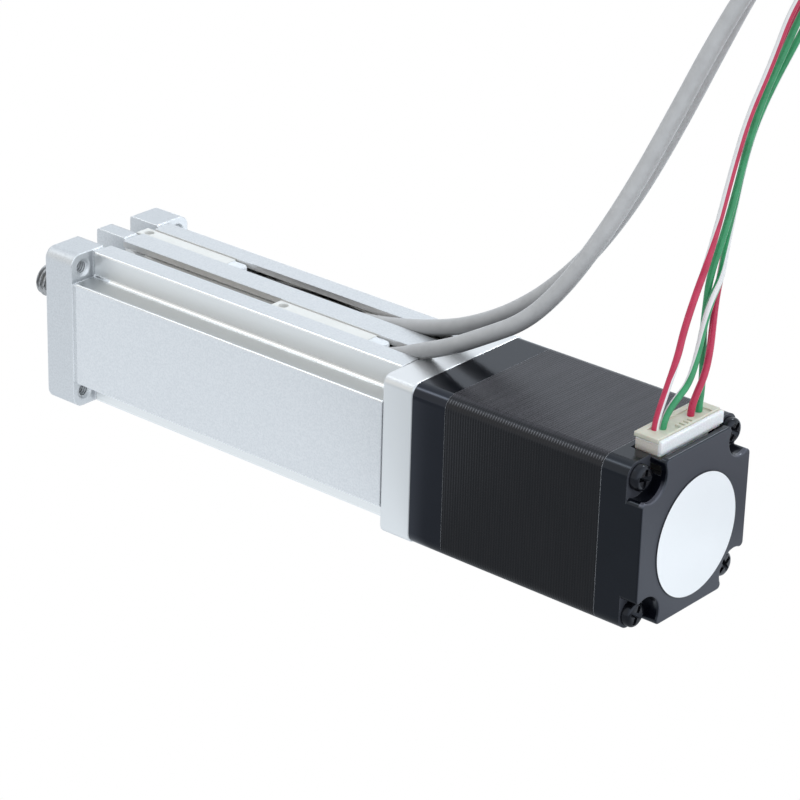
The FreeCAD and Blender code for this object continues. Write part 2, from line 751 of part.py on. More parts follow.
def make_lead_screw():
    """The screw's shaft with the hub that the motor's shaft goes into."""
    rear = dim.bearing_rear - dim.clip_band_length - dim.rod_chamfer
    front = dim.tube_rear + dim.hub_front
    collar_front = dim.bearing_front + dim.collar_length
    tip = -dim.screw_tip
    socket = dim.motor_front + dim.shaft_front + dim.head_play
    shaft = dim.screw_diameter / 2
    hub = dim.hub_diameter / 2
    collar = dim.collar_diameter / 2
    bore = dim.shaft_diameter / 2
    body = turned("lead_screw", [
        (rear, bore), (rear, hub), (dim.bearing_front, hub), (dim.bearing_front, collar),
        (collar_front, collar), (collar_front, hub), (front, hub), (front, shaft),
        (tip - dim.screw_tip_chamfer, shaft), (tip, shaft - dim.screw_tip_chamfer),
        (tip, 0.0), (socket, 0.0), (socket, bore)])
    middle = dim.bearing_front + dim.collar_length / 2
    hole = sketch_on(body, "XY_Plane", dim.collar_diameter / 2)
    add_circle(hole, middle, 0.0, dim.pin_diameter)
    pocket(body, hole)
    pin = start_body("shaft_pin")
    round_end = sketch_on(pin, "XY_Plane", dim.collar_diameter / 2)
    add_circle(round_end, middle, 0.0, dim.pin_diameter)
    pad(pin, round_end, dim.collar_diameter)


def make_motor_shaft():
    rear = dim.cover_bearing_rear + dim.shaft_chamfer
    front = dim.motor_front + dim.shaft_front
    radius = dim.shaft_diameter / 2
    body = turned("motor_shaft", [
        (rear, 0.0), (rear, radius - dim.shaft_chamfer), (rear + dim.shaft_chamfer, radius),
        (front - dim.shaft_chamfer, radius), (front, radius - dim.shaft_chamfer), (front, 0.0)])
    hole = sketch_on(body, "XY_Plane", dim.collar_diameter / 2)
    add_circle(hole, dim.bearing_front + dim.collar_length / 2, 0.0, dim.pin_diameter)
    pocket(body, hole)
    turned_ring("rotor_front_core", dim.rotor_magnet_front, dim.rotor_front,
                dim.shaft_diameter, dim.rotor_diameter)
    turned_ring("rotor_magnet", dim.rotor_magnet_rear, dim.rotor_magnet_front,
                dim.shaft_diameter, dim.rotor_diameter - 2 * dim.air_gap)
    turned_ring("rotor_rear_core", dim.rotor_rear, dim.rotor_magnet_rear,
                dim.shaft_diameter, dim.rotor_diameter)


def make_motor_bearings():
    places = {"front": (dim.bell_bearing_rear, dim.bell_bearing_front),
              "rear": (dim.cover_bearing_rear, dim.cover_bearing_front)}
    for name, (rear, front) in places.items():
        turned_ring(f"motor_{name}_bearing_outer", rear, front,
                    dim.motor_bearing_diameter - 2 * dim.bearing_outer_wall,
                    dim.motor_bearing_diameter)
        turned_ring(f"motor_{name}_bearing_inner", rear, front,
                    dim.shaft_diameter, dim.shaft_diameter + 2 * dim.bearing_inner_wall)
    turned_ring("motor_wave_washer", dim.wave_rear, dim.cover_bearing_rear,
                dim.motor_bearing_diameter - 2 * dim.bearing_outer_wall,
                dim.motor_bearing_diameter - 4 * dim.head_play)


def make_motor_bell():
    body = start_body("motor_front_bell")
    square_block(body, dim.motor_front, dim.bell_length, dim.half, dim.motor_rounding)
    pilot = cross_sketch(body, dim.pilot_front)
    add_circle(pilot, 0.0, 0.0, dim.pilot_diameter)
    pad(body, pilot, dim.motor_pilot_length)
    recess = dim.shaft_recess_bore / 2
    hole = dim.shaft_diameter / 2 + dim.shaft_play
    seat = dim.motor_bearing_diameter / 2
    cavity = dim.winding_bore / 2
    recess_floor = dim.pilot_front - dim.shaft_recess
    turned_cut(body, [(dim.pilot_front, 0.0), (dim.pilot_front, recess), (recess_floor, recess),
                      (recess_floor, hole), (dim.bell_bearing_front, hole),
                      (dim.bell_bearing_front, seat), (dim.bell_bearing_rear, seat),
                      (dim.bell_bearing_rear, cavity), (dim.stack_front, cavity),
                      (dim.stack_front, 0.0)])
    tap = dim.screw_size + 2 * dim.thread_play
    add_holes(body, mount_centres(), tap, dim.motor_front, dim.motor_thread)
    add_holes(body, mount_centres(), tap, dim.stack_front, dim.motor_thread, toward_front=True)


def stator_slot(step):
    """One winding slot between two teeth, as (Y, Z) points turned by its step."""
    half_turn = math.pi / POLES
    cos, sin = math.cos(half_turn), math.sin(half_turn)
    inner = dim.stator_bore / 2 + dim.tooth_tip
    outer = inner + dim.slot_depth
    gap = dim.tooth_gap / 2
    half_tooth = dim.tooth_width / 2
    near = (inner * cos + half_tooth * sin, inner * sin - half_tooth * cos)
    far = (outer * cos + half_tooth * sin, outer * sin - half_tooth * cos)
    mouth = dim.stator_bore / 2 * math.cos(half_turn / 2)
    points = [(mouth, -gap), (near[0], -gap), (near[0], -near[1]), (far[0], -far[1]),
              (far[0], far[1]), (near[0], near[1]), (near[0], gap), (mouth, gap)]
    turn_cos, turn_sin = math.cos(2 * half_turn * step), math.sin(2 * half_turn * step)
    return [(y * turn_cos - z * turn_sin, y * turn_sin + z * turn_cos) for y, z in points]


def make_motor_stack():
    body = start_body("motor_stack")
    square_block(body, dim.stack_front, dim.stack_length, dim.half, dim.motor_rounding)
    bore = cross_sketch(body, dim.stack_front)
    add_circle(bore, 0.0, 0.0, dim.stator_bore)
    pocket(body, bore)
    slots = cross_sketch(body, dim.stack_front)
    for step in range(POLES):
        add_loop(slots, stator_slot(step))
    pocket(body, slots)
    add_holes(body, mount_centres(), dim.screw_size + 2 * dim.screw_play, dim.stack_front)


def make_motor_windings():
    """A coil round each tooth, made over the first tooth and repeated."""
    body = start_body("motor_windings")
    inner = dim.stator_bore / 2 + dim.tooth_tip + dim.coil_play
    width = dim.tooth_width / 2 + dim.coil_play
    # The coil's outer corner stops short of the flat floor of the slot beside it
    tangent = math.tan(math.pi / POLES)
    slot_floor = dim.stator_bore / 2 + dim.tooth_tip + dim.slot_depth + dim.tooth_width / 2 * tangent
    outer = slot_floor - (width + dim.coil_thickness) * tangent - dim.coil_play
    coil = sketch_on(body, "XY_Plane", inner)
    rear = dim.stack_rear - dim.coil_play
    front = dim.stack_front + dim.coil_play
    add_box(coil, rear - dim.coil_end, front + dim.coil_end,
            -width - dim.coil_thickness, width + dim.coil_thickness)
    add_box(coil, rear, front, -width, width)
    first = pad(body, coil, outer - inner, toward_front=True)
    document.recompute()
    pattern = body.newObject("PartDesign::PolarPattern", "PolarPattern")
    pattern.Originals = [first]
    pattern.Axis = (next(item for item in body.Origin.OriginFeatures if item.Role == "X_Axis"), [""])
    pattern.Angle = 360.0
    pattern.Occurrences = POLES
    body.Tip = pattern
    half_pitch = FreeCAD.Rotation(FreeCAD.Vector(1, 0, 0), 180.0 / POLES)
    body.Placement = FreeCAD.Placement(FreeCAD.Vector(), half_pitch)


def make_motor_cover():
    body = start_body("motor_rear_cover")
    square_block(body, dim.stack_rear, dim.cover_length, dim.half, dim.motor_rounding)
    seat = dim.motor_bearing_diameter / 2
    cavity = dim.winding_bore / 2
    turned_cut(body, [(dim.stack_rear, 0.0), (dim.stack_rear, cavity),
                      (dim.cover_bearing_front, cavity), (dim.cover_bearing_front, seat),
                      (dim.wave_rear, seat), (dim.wave_rear, 0.0)])
    add_holes(body, mount_centres(), dim.corner_recess, dim.cover_rear,
              dim.corner_recess_depth, toward_front=True)
    corner = math.hypot(number_of(dim.half), number_of(dim.mount_offset))
    fillet(body, dim.corner_recess_rounding, lambda edge: runs_along_rod(edge)
           and lies_between(edge, dim.cover_rear, dim.recess_floor) and reach(edge) < corner)
    fillet(body, dim.cover_edge, lambda edge: lies_at(edge, dim.cover_rear))
    add_holes(body, mount_centres(), dim.screw_size + 2 * dim.screw_play, dim.stack_rear)
    add_well(body, dim.connector_width / 2 + dim.pocket_play, dim.header_bottom)
    add_well(body, dim.connector_width / 2 - dim.well_play, dim.board_floor)


def add_well(body, side, floor):
    """Room for the connector, open at the top and wider above than below."""
    well = cross_sketch(body, dim.header_front + dim.pocket_play)
    add_box(well, -side, side, floor, dim.half + dim.overshoot)
    pocket(body, well, dim.connector_depth + 2 * dim.pocket_play)


def make_motor_screws():
    length = dim.recess_floor - dim.stack_front
    body = make_screws("motor_screws", mount_centres(), dim.recess_floor - dim.pan_height,
                       dim.pan_head, dim.pan_height, dim.motor_thread - length, toward_front=True)
    top = dim.recess_floor - dim.pan_height
    fillet(body, dim.pan_rounding, lambda edge: lies_at(edge, top))


def make_motor_label():
    body = start_body("motor_label")
    disc = cross_sketch(body, dim.cover_rear)
    add_circle(disc, dim.label_side, dim.label_height, dim.label_diameter)
    pad(body, disc, dim.label_length)


def contact_sides():
    """Where the contacts stand across the connector, from the near side on."""
    return [dim.contact_pitch * ((CONTACTS - 1) / 2 - i) for i in range(CONTACTS)]


def upright(body, height):
    """A sketch lying flat at a height: its axes are X and Y."""
    return sketch_on(body, "XY_Plane", height)


def add_contact_holes(body, height, width, depth=None):
    sketch = upright(body, height)
    for side in contact_sides():
        add_box(sketch, dim.contact_place - width / 2, dim.contact_place + width / 2,
                side - width / 2, side + width / 2)
    pocket(body, sketch, depth)


def make_connector_board():
    body = start_body("connector_board")
    half = dim.connector_width / 2 - dim.well_play - dim.pocket_play
    sheet_face = upright(body, dim.header_bottom)
    add_box(sheet_face, dim.header_rear, dim.header_rear + dim.board_length, -half, half)
    pad(body, sheet_face, dim.board_thickness)
    add_contact_holes(body, dim.header_bottom, dim.contact_width)


def make_connector_header():
    """The shroud on the board: a tall rear wall and a rim below the plug's plate."""
    body = start_body("connector_header")
    half = dim.connector_width / 2
    wall = dim.header_wall
    front = dim.header_front - dim.header_inset
    side = half - dim.header_inset
    foot = upright(body, dim.header_bottom)
    add_box(foot, dim.header_rear, dim.header_front, -half, half)
    pad(body, foot, dim.header_floor, toward_front=True)
    rim = upright(body, dim.plug_bottom)
    add_box(rim, dim.header_rear + wall, front, -side, side)
    pad(body, rim, dim.plate_bottom - dim.header_gap - dim.plug_bottom, toward_front=True)
    tall = upright(body, dim.plug_bottom)
    add_box(tall, dim.header_rear, dim.header_rear + wall, -half, half)
    pad(body, tall, dim.connector_top - dim.header_drop - dim.plug_bottom, toward_front=True)
    room = upright(body, dim.plug_bottom)
    add_box(room, dim.header_rear + wall, front - wall, -side + wall, side - wall)
    pocket(body, room, dim.plate_bottom - dim.plug_bottom, toward_front=True)
    add_contact_holes(body, dim.plug_bottom, dim.contact_width)


def make_connector_plug():
    body = start_body("connector_plug")
    half = dim.connector_width / 2
    wall = dim.header_wall + dim.plug_play
    rear = dim.header_rear + wall
    block = upright(body, dim.plug_bottom)
    side = half - dim.header_inset - wall
    add_box(block, rear, dim.header_front - dim.header_inset - wall, -side, side)
    pad(body, block, dim.plate_bottom - dim.plug_bottom, toward_front=True)
    plate = upright(body, dim.plate_bottom)
    add_box(plate, rear, dim.header_front, -half, half)
    pad(body, plate, dim.plug_plate, toward_front=True)
    add_contact_holes(body, dim.plug_bottom + dim.contact_length - dim.header_floor,
                      dim.contact_width)
    cavities = upright(body, dim.connector_top)
    for side in contact_sides():
        add_circle(cavities, dim.contact_place, side, dim.cavity_bore)
    pocket(body, cavities, dim.cavity_depth)


def make_connector_contacts():
    body = start_body("connector_contacts")
    pins = upright(body, dim.board_floor)
    width = dim.contact_width
    for side in contact_sides():
        add_box(pins, dim.contact_place - width / 2, dim.contact_place + width / 2,
                side - width / 2, side + width / 2)
    pad(body, pins, dim.contact_length, toward_front=True)


def make_switch(name, side, tip):
    """A switch body with a round keel in the groove, its set screw and its boot."""
    body = start_body(f"{name}_switch")
    middle = side * dim.groove_offset
    top = dim.half - dim.switch_drop
    half = dim.switch_width / 2
    length = dim.switch_length - dim.boot_length
    keel = cross_sketch(body, tip)
    add_circle(keel, middle, dim.channel_height, dim.switch_barrel)
    pad(body, keel, length)
    neck = cross_sketch(body, tip)
    add_box(neck, middle - half, middle + half, dim.channel_height, top)
    pad(body, neck, length)
    hole = upright(body, top)
    place = tip - dim.set_screw_inset
    add_circle(hole, place, middle, dim.set_screw_size)
    pocket(body, hole)
    screw = start_body(f"{name}_switch_screw")
    face = upright(screw, top - dim.set_screw_drop)
    add_circle(face, place, middle, dim.set_screw_size)
    pad(screw, face, top - dim.set_screw_drop - dim.slot_floor - dim.thread_play)
    boot = start_body(f"{name}_switch_boot")
    inset = dim.boot_inset
    root = cross_sketch(boot, tip - length)
    add_circle(root, middle, dim.channel_height, dim.switch_barrel - 2 * inset)
    pad(boot, root, dim.boot_length)
    ridge = cross_sketch(boot, tip - length)
    add_box(ridge, middle - half + inset, middle + half - inset,
            dim.channel_height, top - inset)
    pad(boot, ridge, dim.boot_length)


def make_rod():
    radius = dim.rod_diameter / 2
    bore = dim.rod_bore / 2
    turned("piston_rod", [(dim.nut_front, bore), (dim.nut_front, radius),
                          (-dim.rod_chamfer, radius), (0.0, radius - dim.rod_chamfer),
                          (0.0, bore)])
    stud = dim.stud_diameter / 2
    tip = dim.head_length + dim.stud_length
    body = turned("rod_end", [(-dim.rod_bore_start, 0.0), (-dim.rod_bore_start, bore), (0.0, bore),
                              (0.0, dim.head_diameter / 2), (dim.head_length, dim.head_diameter / 2),
                              (dim.head_length, stud), (tip - dim.stud_chamfer, stud),
                              (tip, stud - dim.stud_chamfer), (tip, 0.0)])
    flats = cross_sketch(body, dim.head_length)
    flat = dim.head_flats / 2
    for side in (-1, 1):
        add_box(flats, -dim.rod_diameter, dim.rod_diameter, side * flat, side * dim.rod_diameter)
    pocket(body, flats, dim.head_length)


def make_piston():
    outer = dim.tube_bore / 2 - dim.piston_play
    step = dim.piston_step_diameter / 2
    bore = dim.rod_diameter / 2
    body = turned("piston", [(dim.piston_rear, bore), (dim.piston_rear, outer),
                             (dim.step_rear, outer), (dim.step_rear, step),
                             (dim.piston_front, step), (dim.piston_front, bore)])
    key_top = -outer + dim.guide_key_sunk
    key_bottom = -dim.tube_bore / 2 - dim.keyway_depth + dim.guide_key_play
    half = dim.keyway_width / 2 - dim.guide_key_play
    length = dim.step_rear - dim.guide_key_inset - dim.piston_rear
    seat = cross_sketch(body, dim.piston_rear)
    add_box(seat, -half, half, key_bottom, key_top)
    pocket(body, seat, length, toward_front=True)
    key = start_body("guide_key")
    face = cross_sketch(key, dim.piston_rear)
    add_box(face, -half, half, key_bottom, key_top)
    pad(key, face, length, toward_front=True)
    turned_ring("position_magnet", dim.step_rear, dim.magnet_front,
                dim.piston_step_diameter, dim.magnet_diameter)
    turned_ring("wear_ring", dim.magnet_front, dim.wear_front,
                dim.piston_step_diameter, dim.tube_bore - 2 * dim.wear_ring_play)
    clip = turned_ring("piston_clip", dim.wear_front, dim.clip_front,
                       dim.piston_step_diameter, dim.clip_diameter)
    opening = cross_sketch(clip, dim.clip_front)
    add_box(opening, -dim.clip_gap / 2, dim.clip_gap / 2, 0.0, dim.clip_diameter)
    pocket(clip, opening, dim.clip_length)


def make_screw_nut():
    flange = dim.nut_flange_diameter / 2
    barrel = dim.rod_diameter / 2
    bore = dim.screw_diameter / 2 + dim.nut_play
    turned("screw_nut", [(dim.nut_rear, bore), (dim.nut_rear, flange), (dim.piston_rear, flange),
                         (dim.piston_rear, barrel), (dim.nut_front, barrel), (dim.nut_front, bore)])


def rounded_path(points):
    """Straight runs joined by tangent arcs, and the smallest arc's radius."""
    edges = []
    radii = []
    start = points[0]
    for before, point, after in zip(points, points[1:], points[2:]):
        arriving = (point - before).normalize()
        leaving = (after - point).normalize()
        half_turn = arriving.getAngle(leaving) / 2
        reach_back = ARC_SHARE * min((point - before).Length, (after - point).Length)
        radius = reach_back / math.tan(half_turn)
        inward = (leaving - arriving).normalize()
        middle = point + inward * (radius / math.cos(half_turn) - radius)
        first = point - arriving * reach_back
        last = point + leaving * reach_back
        edges.append(Part.LineSegment(start, first).toShape())
        edges.append(Part.Arc(first, middle, last).toShape())
        radii.append(radius)
        start = last
    edges.append(Part.LineSegment(start, points[-1]).toShape())
    return Part.Wire(edges), min(radii)


def add_solid(label, shape):
    feature = document.addObject("Part::Feature", label)
    feature.Label = label
    feature.Shape = shape
    nodes.append(feature)


def make_cord(label, points, diameter):
    """A round cord swept along its route, checked against section times length."""
    path, smallest = rounded_path(points)
    radius = number_of(diameter) / 2
    section = Part.Wire(Part.makeCircle(radius, points[0], points[1] - points[0]))
    cord = path.makePipeShell([section], True, False)
    expected = math.pi * radius ** 2 * path.Length
    if abs(cord.Volume / expected - 1) > 0.01:
        raise RuntimeError(f"{label} has the wrong volume")
    print(f"{label}: length {path.Length:.1f}, smallest radius {smallest:.1f}")
    add_solid(label, cord)


def beside(before, point, after, side, level):
    """A point of the bundle moved to one wire's place in it."""
    along = (after - before).normalize()
    across = (FreeCAD.Vector(0, 1, 0) - along * along.y).normalize()
    outward = across.cross(along)
    step = number_of(dim.wire_spacing) / 2
    return point + across * (side * step) + outward * (level * step)


def make_cords():
    near = [FreeCAD.Vector(*point) for point in NEAR_CABLE]
    far = [FreeCAD.Vector(*point) for point in FAR_CABLE]
    make_cord("near_switch_cable", near, dim.cable_diameter)
    make_cord("far_switch_cable", far, dim.cable_diameter)
    bundle = [FreeCAD.Vector(*point) for point in WIRE_BUNDLE]
    for name, (side, level, own) in MOTOR_WIRES.items():
        route = [FreeCAD.Vector(*point) for point in own]
        for before, point, after in zip(bundle, bundle[1:], bundle[2:]):
            route.append(beside(before, point, after, side, level))
        make_cord(f"motor_wire_{name}", route, dim.wire_diameter)


def make_coil(label, radius, width, height):
    """The outer shape of a stored coil lying on the standing surface."""
    drums = []
    for name, edge in (("Outside", radius + width / 2), ("Inside", radius - width / 2)):
        drum = document.addObject("Part::Cylinder", name)
        bind(drum, "Radius", edge)
        bind(drum, "Height", height)
        bind(drum, "Placement.Base.x", COIL_CENTRE[0])
        bind(drum, "Placement.Base.y", COIL_CENTRE[1])
        bind(drum, "Placement.Base.z", -dim.front_half + dim.coil_rise)
        drums.append(drum)
    coil = document.addObject("Part::Cut", label)
    coil.Label = label
    coil.Base, coil.Tool = drums
    nodes.append(coil)


def make_coils():
    make_coil("near_cable_coil", dim.near_coil_radius, dim.cable_coil_width, dim.near_coil_height)
    make_coil("far_cable_coil", dim.far_coil_radius, dim.cable_coil_width, dim.far_coil_height)
    make_coil("motor_wire_coil", dim.wire_coil_radius, dim.wire_coil_width, dim.wire_coil_height)


def check_document():
    """Stops if a feature failed, a cut cut nothing or a sub-part is not sound."""
    for feature in document.Objects:
        if "Invalid" in feature.State or "Error" in feature.State:
            raise RuntimeError(f"{feature.Name} of {feature.Label} failed: {feature.State}")
        if feature.TypeId in ("PartDesign::Pocket", "PartDesign::Groove"):
            if feature.Shape.Volume > feature.BaseFeature.Shape.Volume - 1e-6:
                raise RuntimeError(f"{feature.Name} cuts nothing")
    for node in nodes:
        if node.Shape.isNull() or not node.Shape.isValid():
            raise RuntimeError(f"{node.Label} is not a sound shape")


def write_parts():
    os.makedirs("parts", exist_ok=True)
    for node in nodes:
        node.Shape.exportStep(os.path.join("parts", f"{node.Label}.step"))


def main():
    fill_sheet()
    make_front_flange()
    make_rod_guides()
    make_flange_screws()
    make_tube()
    make_rear_flange()
    make_screw_support()
    make_lead_screw()
    make_motor_shaft()
    make_motor_bearings()
    make_motor_bell()
    make_motor_stack()
    make_motor_windings()
    make_motor_cover()
    make_motor_screws()
    make_motor_label()
    make_connector_board()
    make_connector_header()
    make_connector_plug()
    make_connector_contacts()
    make_switch("near", 1, dim.near_switch_tip)
    make_switch("far", -1, -dim.far_switch_tip)
    make_rod()
    make_piston()
    make_screw_nut()
    make_cords()
    make_coils()
    document.recompute()
    check_document()
    write_parts()


main()
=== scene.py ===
import json
import math

import bmesh
import bpy
from mathutils import Matrix, Vector


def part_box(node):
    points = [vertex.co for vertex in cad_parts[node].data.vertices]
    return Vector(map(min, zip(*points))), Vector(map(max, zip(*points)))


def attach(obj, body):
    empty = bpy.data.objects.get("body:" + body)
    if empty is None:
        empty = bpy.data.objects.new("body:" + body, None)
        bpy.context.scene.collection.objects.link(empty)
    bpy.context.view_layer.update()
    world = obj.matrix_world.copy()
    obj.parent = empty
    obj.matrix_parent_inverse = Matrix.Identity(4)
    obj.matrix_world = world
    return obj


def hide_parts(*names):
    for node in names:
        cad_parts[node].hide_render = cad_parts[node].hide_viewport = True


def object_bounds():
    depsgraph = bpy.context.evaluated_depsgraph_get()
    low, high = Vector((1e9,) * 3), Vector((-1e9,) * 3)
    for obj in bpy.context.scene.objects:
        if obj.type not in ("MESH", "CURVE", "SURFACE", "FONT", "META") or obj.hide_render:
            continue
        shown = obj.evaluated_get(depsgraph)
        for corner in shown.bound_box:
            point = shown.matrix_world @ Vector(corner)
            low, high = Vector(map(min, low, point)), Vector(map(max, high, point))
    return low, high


# Looks of the electric cylinder: a silver tube and flanges, a black stepping
# motor with its connector, two position switches, their cables and the motor's
# wires. X runs along the rod. Lengths are in millimetres, and MM turns them
# into the metres that Blender works in; where a length is in metres, it says so.

MM = 0.001

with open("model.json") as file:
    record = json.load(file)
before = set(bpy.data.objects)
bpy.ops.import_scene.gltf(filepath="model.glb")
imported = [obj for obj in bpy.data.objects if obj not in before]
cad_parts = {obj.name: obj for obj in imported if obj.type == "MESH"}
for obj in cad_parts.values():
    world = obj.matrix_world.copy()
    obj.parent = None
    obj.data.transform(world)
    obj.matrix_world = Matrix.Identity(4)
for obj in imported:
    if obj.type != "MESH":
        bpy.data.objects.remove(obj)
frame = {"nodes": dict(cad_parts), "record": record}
nodes = frame["nodes"]
cad_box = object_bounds()

# Camera: its place, its angles in degrees and its lens
CAMERA_PLACE = (-371.41, 361.95, 217.91)
CAMERA_AZIMUTH = 219.93
CAMERA_ELEVATION = 24.54
CAMERA_ROLL = 1.61
CAMERA_LENS = 143.09

# Sky: its tones, where it turns warm, its brightness and its soft lights, each
# with the direction that it comes from, how narrow it is and how bright it is
WHITE = (1.0, 1.0, 1.0)
SKY_TONE = (0.88, 0.94, 1.0)
SKY_WARM = (0.94, 0.94, 0.92)
WARM_AIM = (0.584, 0.698, 0.415)
WARM_SPAN = (0.8, 0.97)
SKY_GLOW = 0.86
LOBES = [((0.584, 0.304, 0.752), 160.0, 4.5), ((0.1, -0.698, 0.71), 210.0, 16.0),
         ((-1.0, 0.0, 0.25), 2.0, 0.9)]

# Floor: its brightness in reflections and in soft light, and the spans, in
# metres, over which it changes. The motor's side mirrors the floor along lines
# of one slope.
FLOOR_SIZE = 3.0
FLOOR_GLOW = 0.92
FLOOR_BEHIND = 1.4
FLOOR_BESIDE_MOTOR = 0.42
FLOOR_SOFT = 0.65
BEHIND_SPAN = (-0.03, 0.012)
MOTOR_SPAN = (-0.0975, -0.0945)
SIDE_SPAN = (0.0, 0.014)
MIRROR_SLOPE = -0.8365

# Small details. The crosses' turns are in degrees.
MOUNT_OFFSET = 11.5
REAR_FLANGE = (-84.0, -76.0)
SLOTS_HALF_WIDTH = 8.5
SLOTS_BOTTOM = 8.0
SET_SCREW_DROP = 0.75
BOOT_WIDTH = 2.6
BOOT_SHORTER = 0.6
CROSS_TURNS = (12.0, 40.0, 25.0, 55.0)

# Wires' stripes: each one's place round its wire at the start and further on,
# and the two shares of the wire's length between which it moves over. Then half
# of a stripe's width, inside and outside its soft edge, as shares of a turn.
STRIPE_PLACE = {"wire_red_white": (0.42, 1.10, 0.04, 0.11),
                "wire_green_white": (0.0, 0.5, 0.05, 0.14)}
STRIPE_HALF = (0.115, 0.13)

# Cables' underside: the heights, in metres, over which its shade fades away
SHADE_SPAN = (0.018, 0.04)

# Coils: radius, the angle in degrees where it starts, top, bottom and turns. The
# wires share one coil, with turns that go by the wire's side of the bundle.
COIL_CENTRE = (-152.0, -32.0)
COIL_POINTS = 16
CABLE_COILS = {"near": (14.5, -101.7, -4.75, -12.65, 2.8),
               "far": (17.5, -99.8, -7.3, -12.65, 1.94)}
WIRE_COIL = (6.3, -98.0, -6.5, -12.8)
WIRE_TURNS = {-1: 2.5, 1: 2.6}

# Cords: the points that they pass by. A motor wire comes with its side and its
# level in the bundle, and then its own points as far as the bundle.
CABLE_DIAMETER = 2.8
WIRE_DIAMETER = 1.15
WIRE_SPACING = 1.3
NEAR_CABLE = [
    (-68.4, 3.9, 11.5), (-71.3, 3.8, 12.4), (-76.9, 4.1, 15.1), (-82.7, 4.5, 17.7),
    (-88.1, 3.0, 20.7), (-93.7, 0.4, 23.9), (-97.8, -3.2, 29.4), (-100.9, -7.9, 36.8),
    (-103.4, -13.4, 45.4), (-105.5, -19.8, 55.8), (-107.3, -25.8, 65.8), (-109.9, -31.1, 75.2),
    (-113.7, -35.2, 83.0), (-119.5, -39.2, 88.4), (-127.2, -42.6, 89.8), (-134.8, -45.4, 86.8),
    (-140.4, -46.8, 80.2), (-143.0, -47.1, 71.2), (-143.4, -46.9, 60.5), (-142.0, -46.7, 49.5),
    (-139.6, -46.5, 38.0), (-137.6, -46.4, 26.5), (-136.5, -46.5, 16.5), (-136.4, -46.5, 7.7),
    (-138.8, -46.5, 2.0), (-143.2, -46.5, -2.4), (-148.9, -46.5, -4.75), (-155.0, -46.5, -4.75),
]
FAR_CABLE = [
    (-29.7, -3.9, 11.5), (-37.5, -3.9, 11.15), (-45.5, -3.9, 11.0), (-53.5, -3.9, 11.3),
    (-60.3, -3.9, 12.2), (-67.0, -3.9, 13.6), (-73.2, -3.9, 15.4), (-79.0, -4.2, 17.5),
    (-85.5, -6.2, 20.9), (-91.2, -9.3, 25.7), (-96.0, -13.6, 32.4), (-99.7, -19.0, 41.2),
    (-102.6, -25.2, 52.4), (-104.8, -31.0, 63.2), (-107.2, -36.4, 73.6), (-110.6, -41.0, 82.4),
    (-116.2, -45.6, 88.5), (-124.4, -48.8, 90.4), (-132.9, -50.6, 87.4), (-139.6, -51.2, 80.8),
    (-142.9, -51.1, 71.4), (-143.6, -50.8, 60.0), (-142.2, -50.4, 49.0), (-139.8, -50.0, 37.5),
    (-137.7, -49.7, 26.0), (-136.6, -49.5, 15.5), (-136.4, -49.5, 5.2), (-138.8, -49.5, -0.5),
    (-143.2, -49.5, -4.9), (-148.9, -49.5, -7.3), (-155.0, -49.5, -7.3),
]
MOTOR_WIRES = {
    "red_white": (1, 1, [
        (-122.75, 5.1, 15.1), (-122.7, 4.95, 17.0), (-122.6, 3.9, 19.2), (-122.2, 1.6, 22.2),
        (-121.6, -1.3, 25.7), (-120.6, -4.0, 29.1), (-119.8, -7.4, 33.2), (-119.4, -10.8, 37.8),
        (-118.9, -14.1, 44.1), (-118.2, -17.6, 50.7), (-117.7, -21.5, 58.0), (-118.1, -26.1, 65.3),
        (-118.0, -31.2, 73.9)]),
    "green_white": (-1, -1, [
        (-123.4, 4.1, 15.1), (-123.35, 3.9, 17.0), (-123.2, 2.5, 18.7), (-123.3, 0.3, 20.3),
        (-123.3, -2.4, 21.8), (-122.6, -5.2, 25.3), (-121.7, -7.8, 29.8), (-121.1, -10.1, 32.6),
        (-120.2, -13.5, 34.7), (-118.8, -16.4, 38.3), (-117.7, -19.5, 43.9), (-116.9, -22.4, 49.9),
        (-116.5, -25.4, 55.4), (-116.9, -29.2, 61.4), (-118.0, -33.9, 68.4), (-118.8, -37.0, 74.2)]),
    "red": (-1, 1, [
        (-123.65, -2.8, 15.1), (-123.6, -2.9, 17.2), (-123.65, -3.9, 19.4), (-123.9, -5.6, 22.3),
        (-123.0, -7.9, 25.5), (-120.8, -11.4, 28.2), (-119.2, -14.1, 31.1), (-118.1, -16.9, 35.6),
        (-116.9, -20.3, 42.3), (-115.8, -24.0, 50.2), (-115.1, -27.6, 57.2), (-115.3, -32.2, 65.2),
        (-116.6, -36.4, 73.0)]),
    "green": (1, -1, [
        (-123.65, -4.9, 15.1), (-123.6, -5.0, 17.2), (-123.1, -6.1, 19.3), (-121.9, -7.9, 22.4),
        (-120.3, -9.6, 26.8), (-119.5, -11.1, 30.9), (-119.0, -12.3, 35.1), (-119.1, -14.9, 40.6),
        (-118.7, -18.0, 46.7), (-117.9, -21.6, 53.4), (-117.5, -25.4, 60.0), (-117.8, -29.4, 65.9),
        (-118.2, -33.9, 72.9)]),
}
WIRE_BUNDLE = [
    (-117.6, -33.6, 73.4), (-119.9, -38.3, 79.8), (-123.2, -40.8, 83.0), (-128.0, -42.0, 83.8),
    (-132.8, -42.2, 81.6), (-136.8, -41.8, 76.8), (-139.8, -41.0, 69.2), (-142.0, -40.0, 58.5),
    (-143.5, -39.1, 45.5), (-144.6, -38.6, 32.0), (-145.7, -38.3, 19.5), (-146.3, -38.3, 9.5),
    (-146.5, -38.3, 2.4), (-147.2, -38.3, -2.6), (-149.2, -38.3, -5.5), (-152.4, -38.3, -6.5),
    (-155.4, -38.3, -6.5),
]


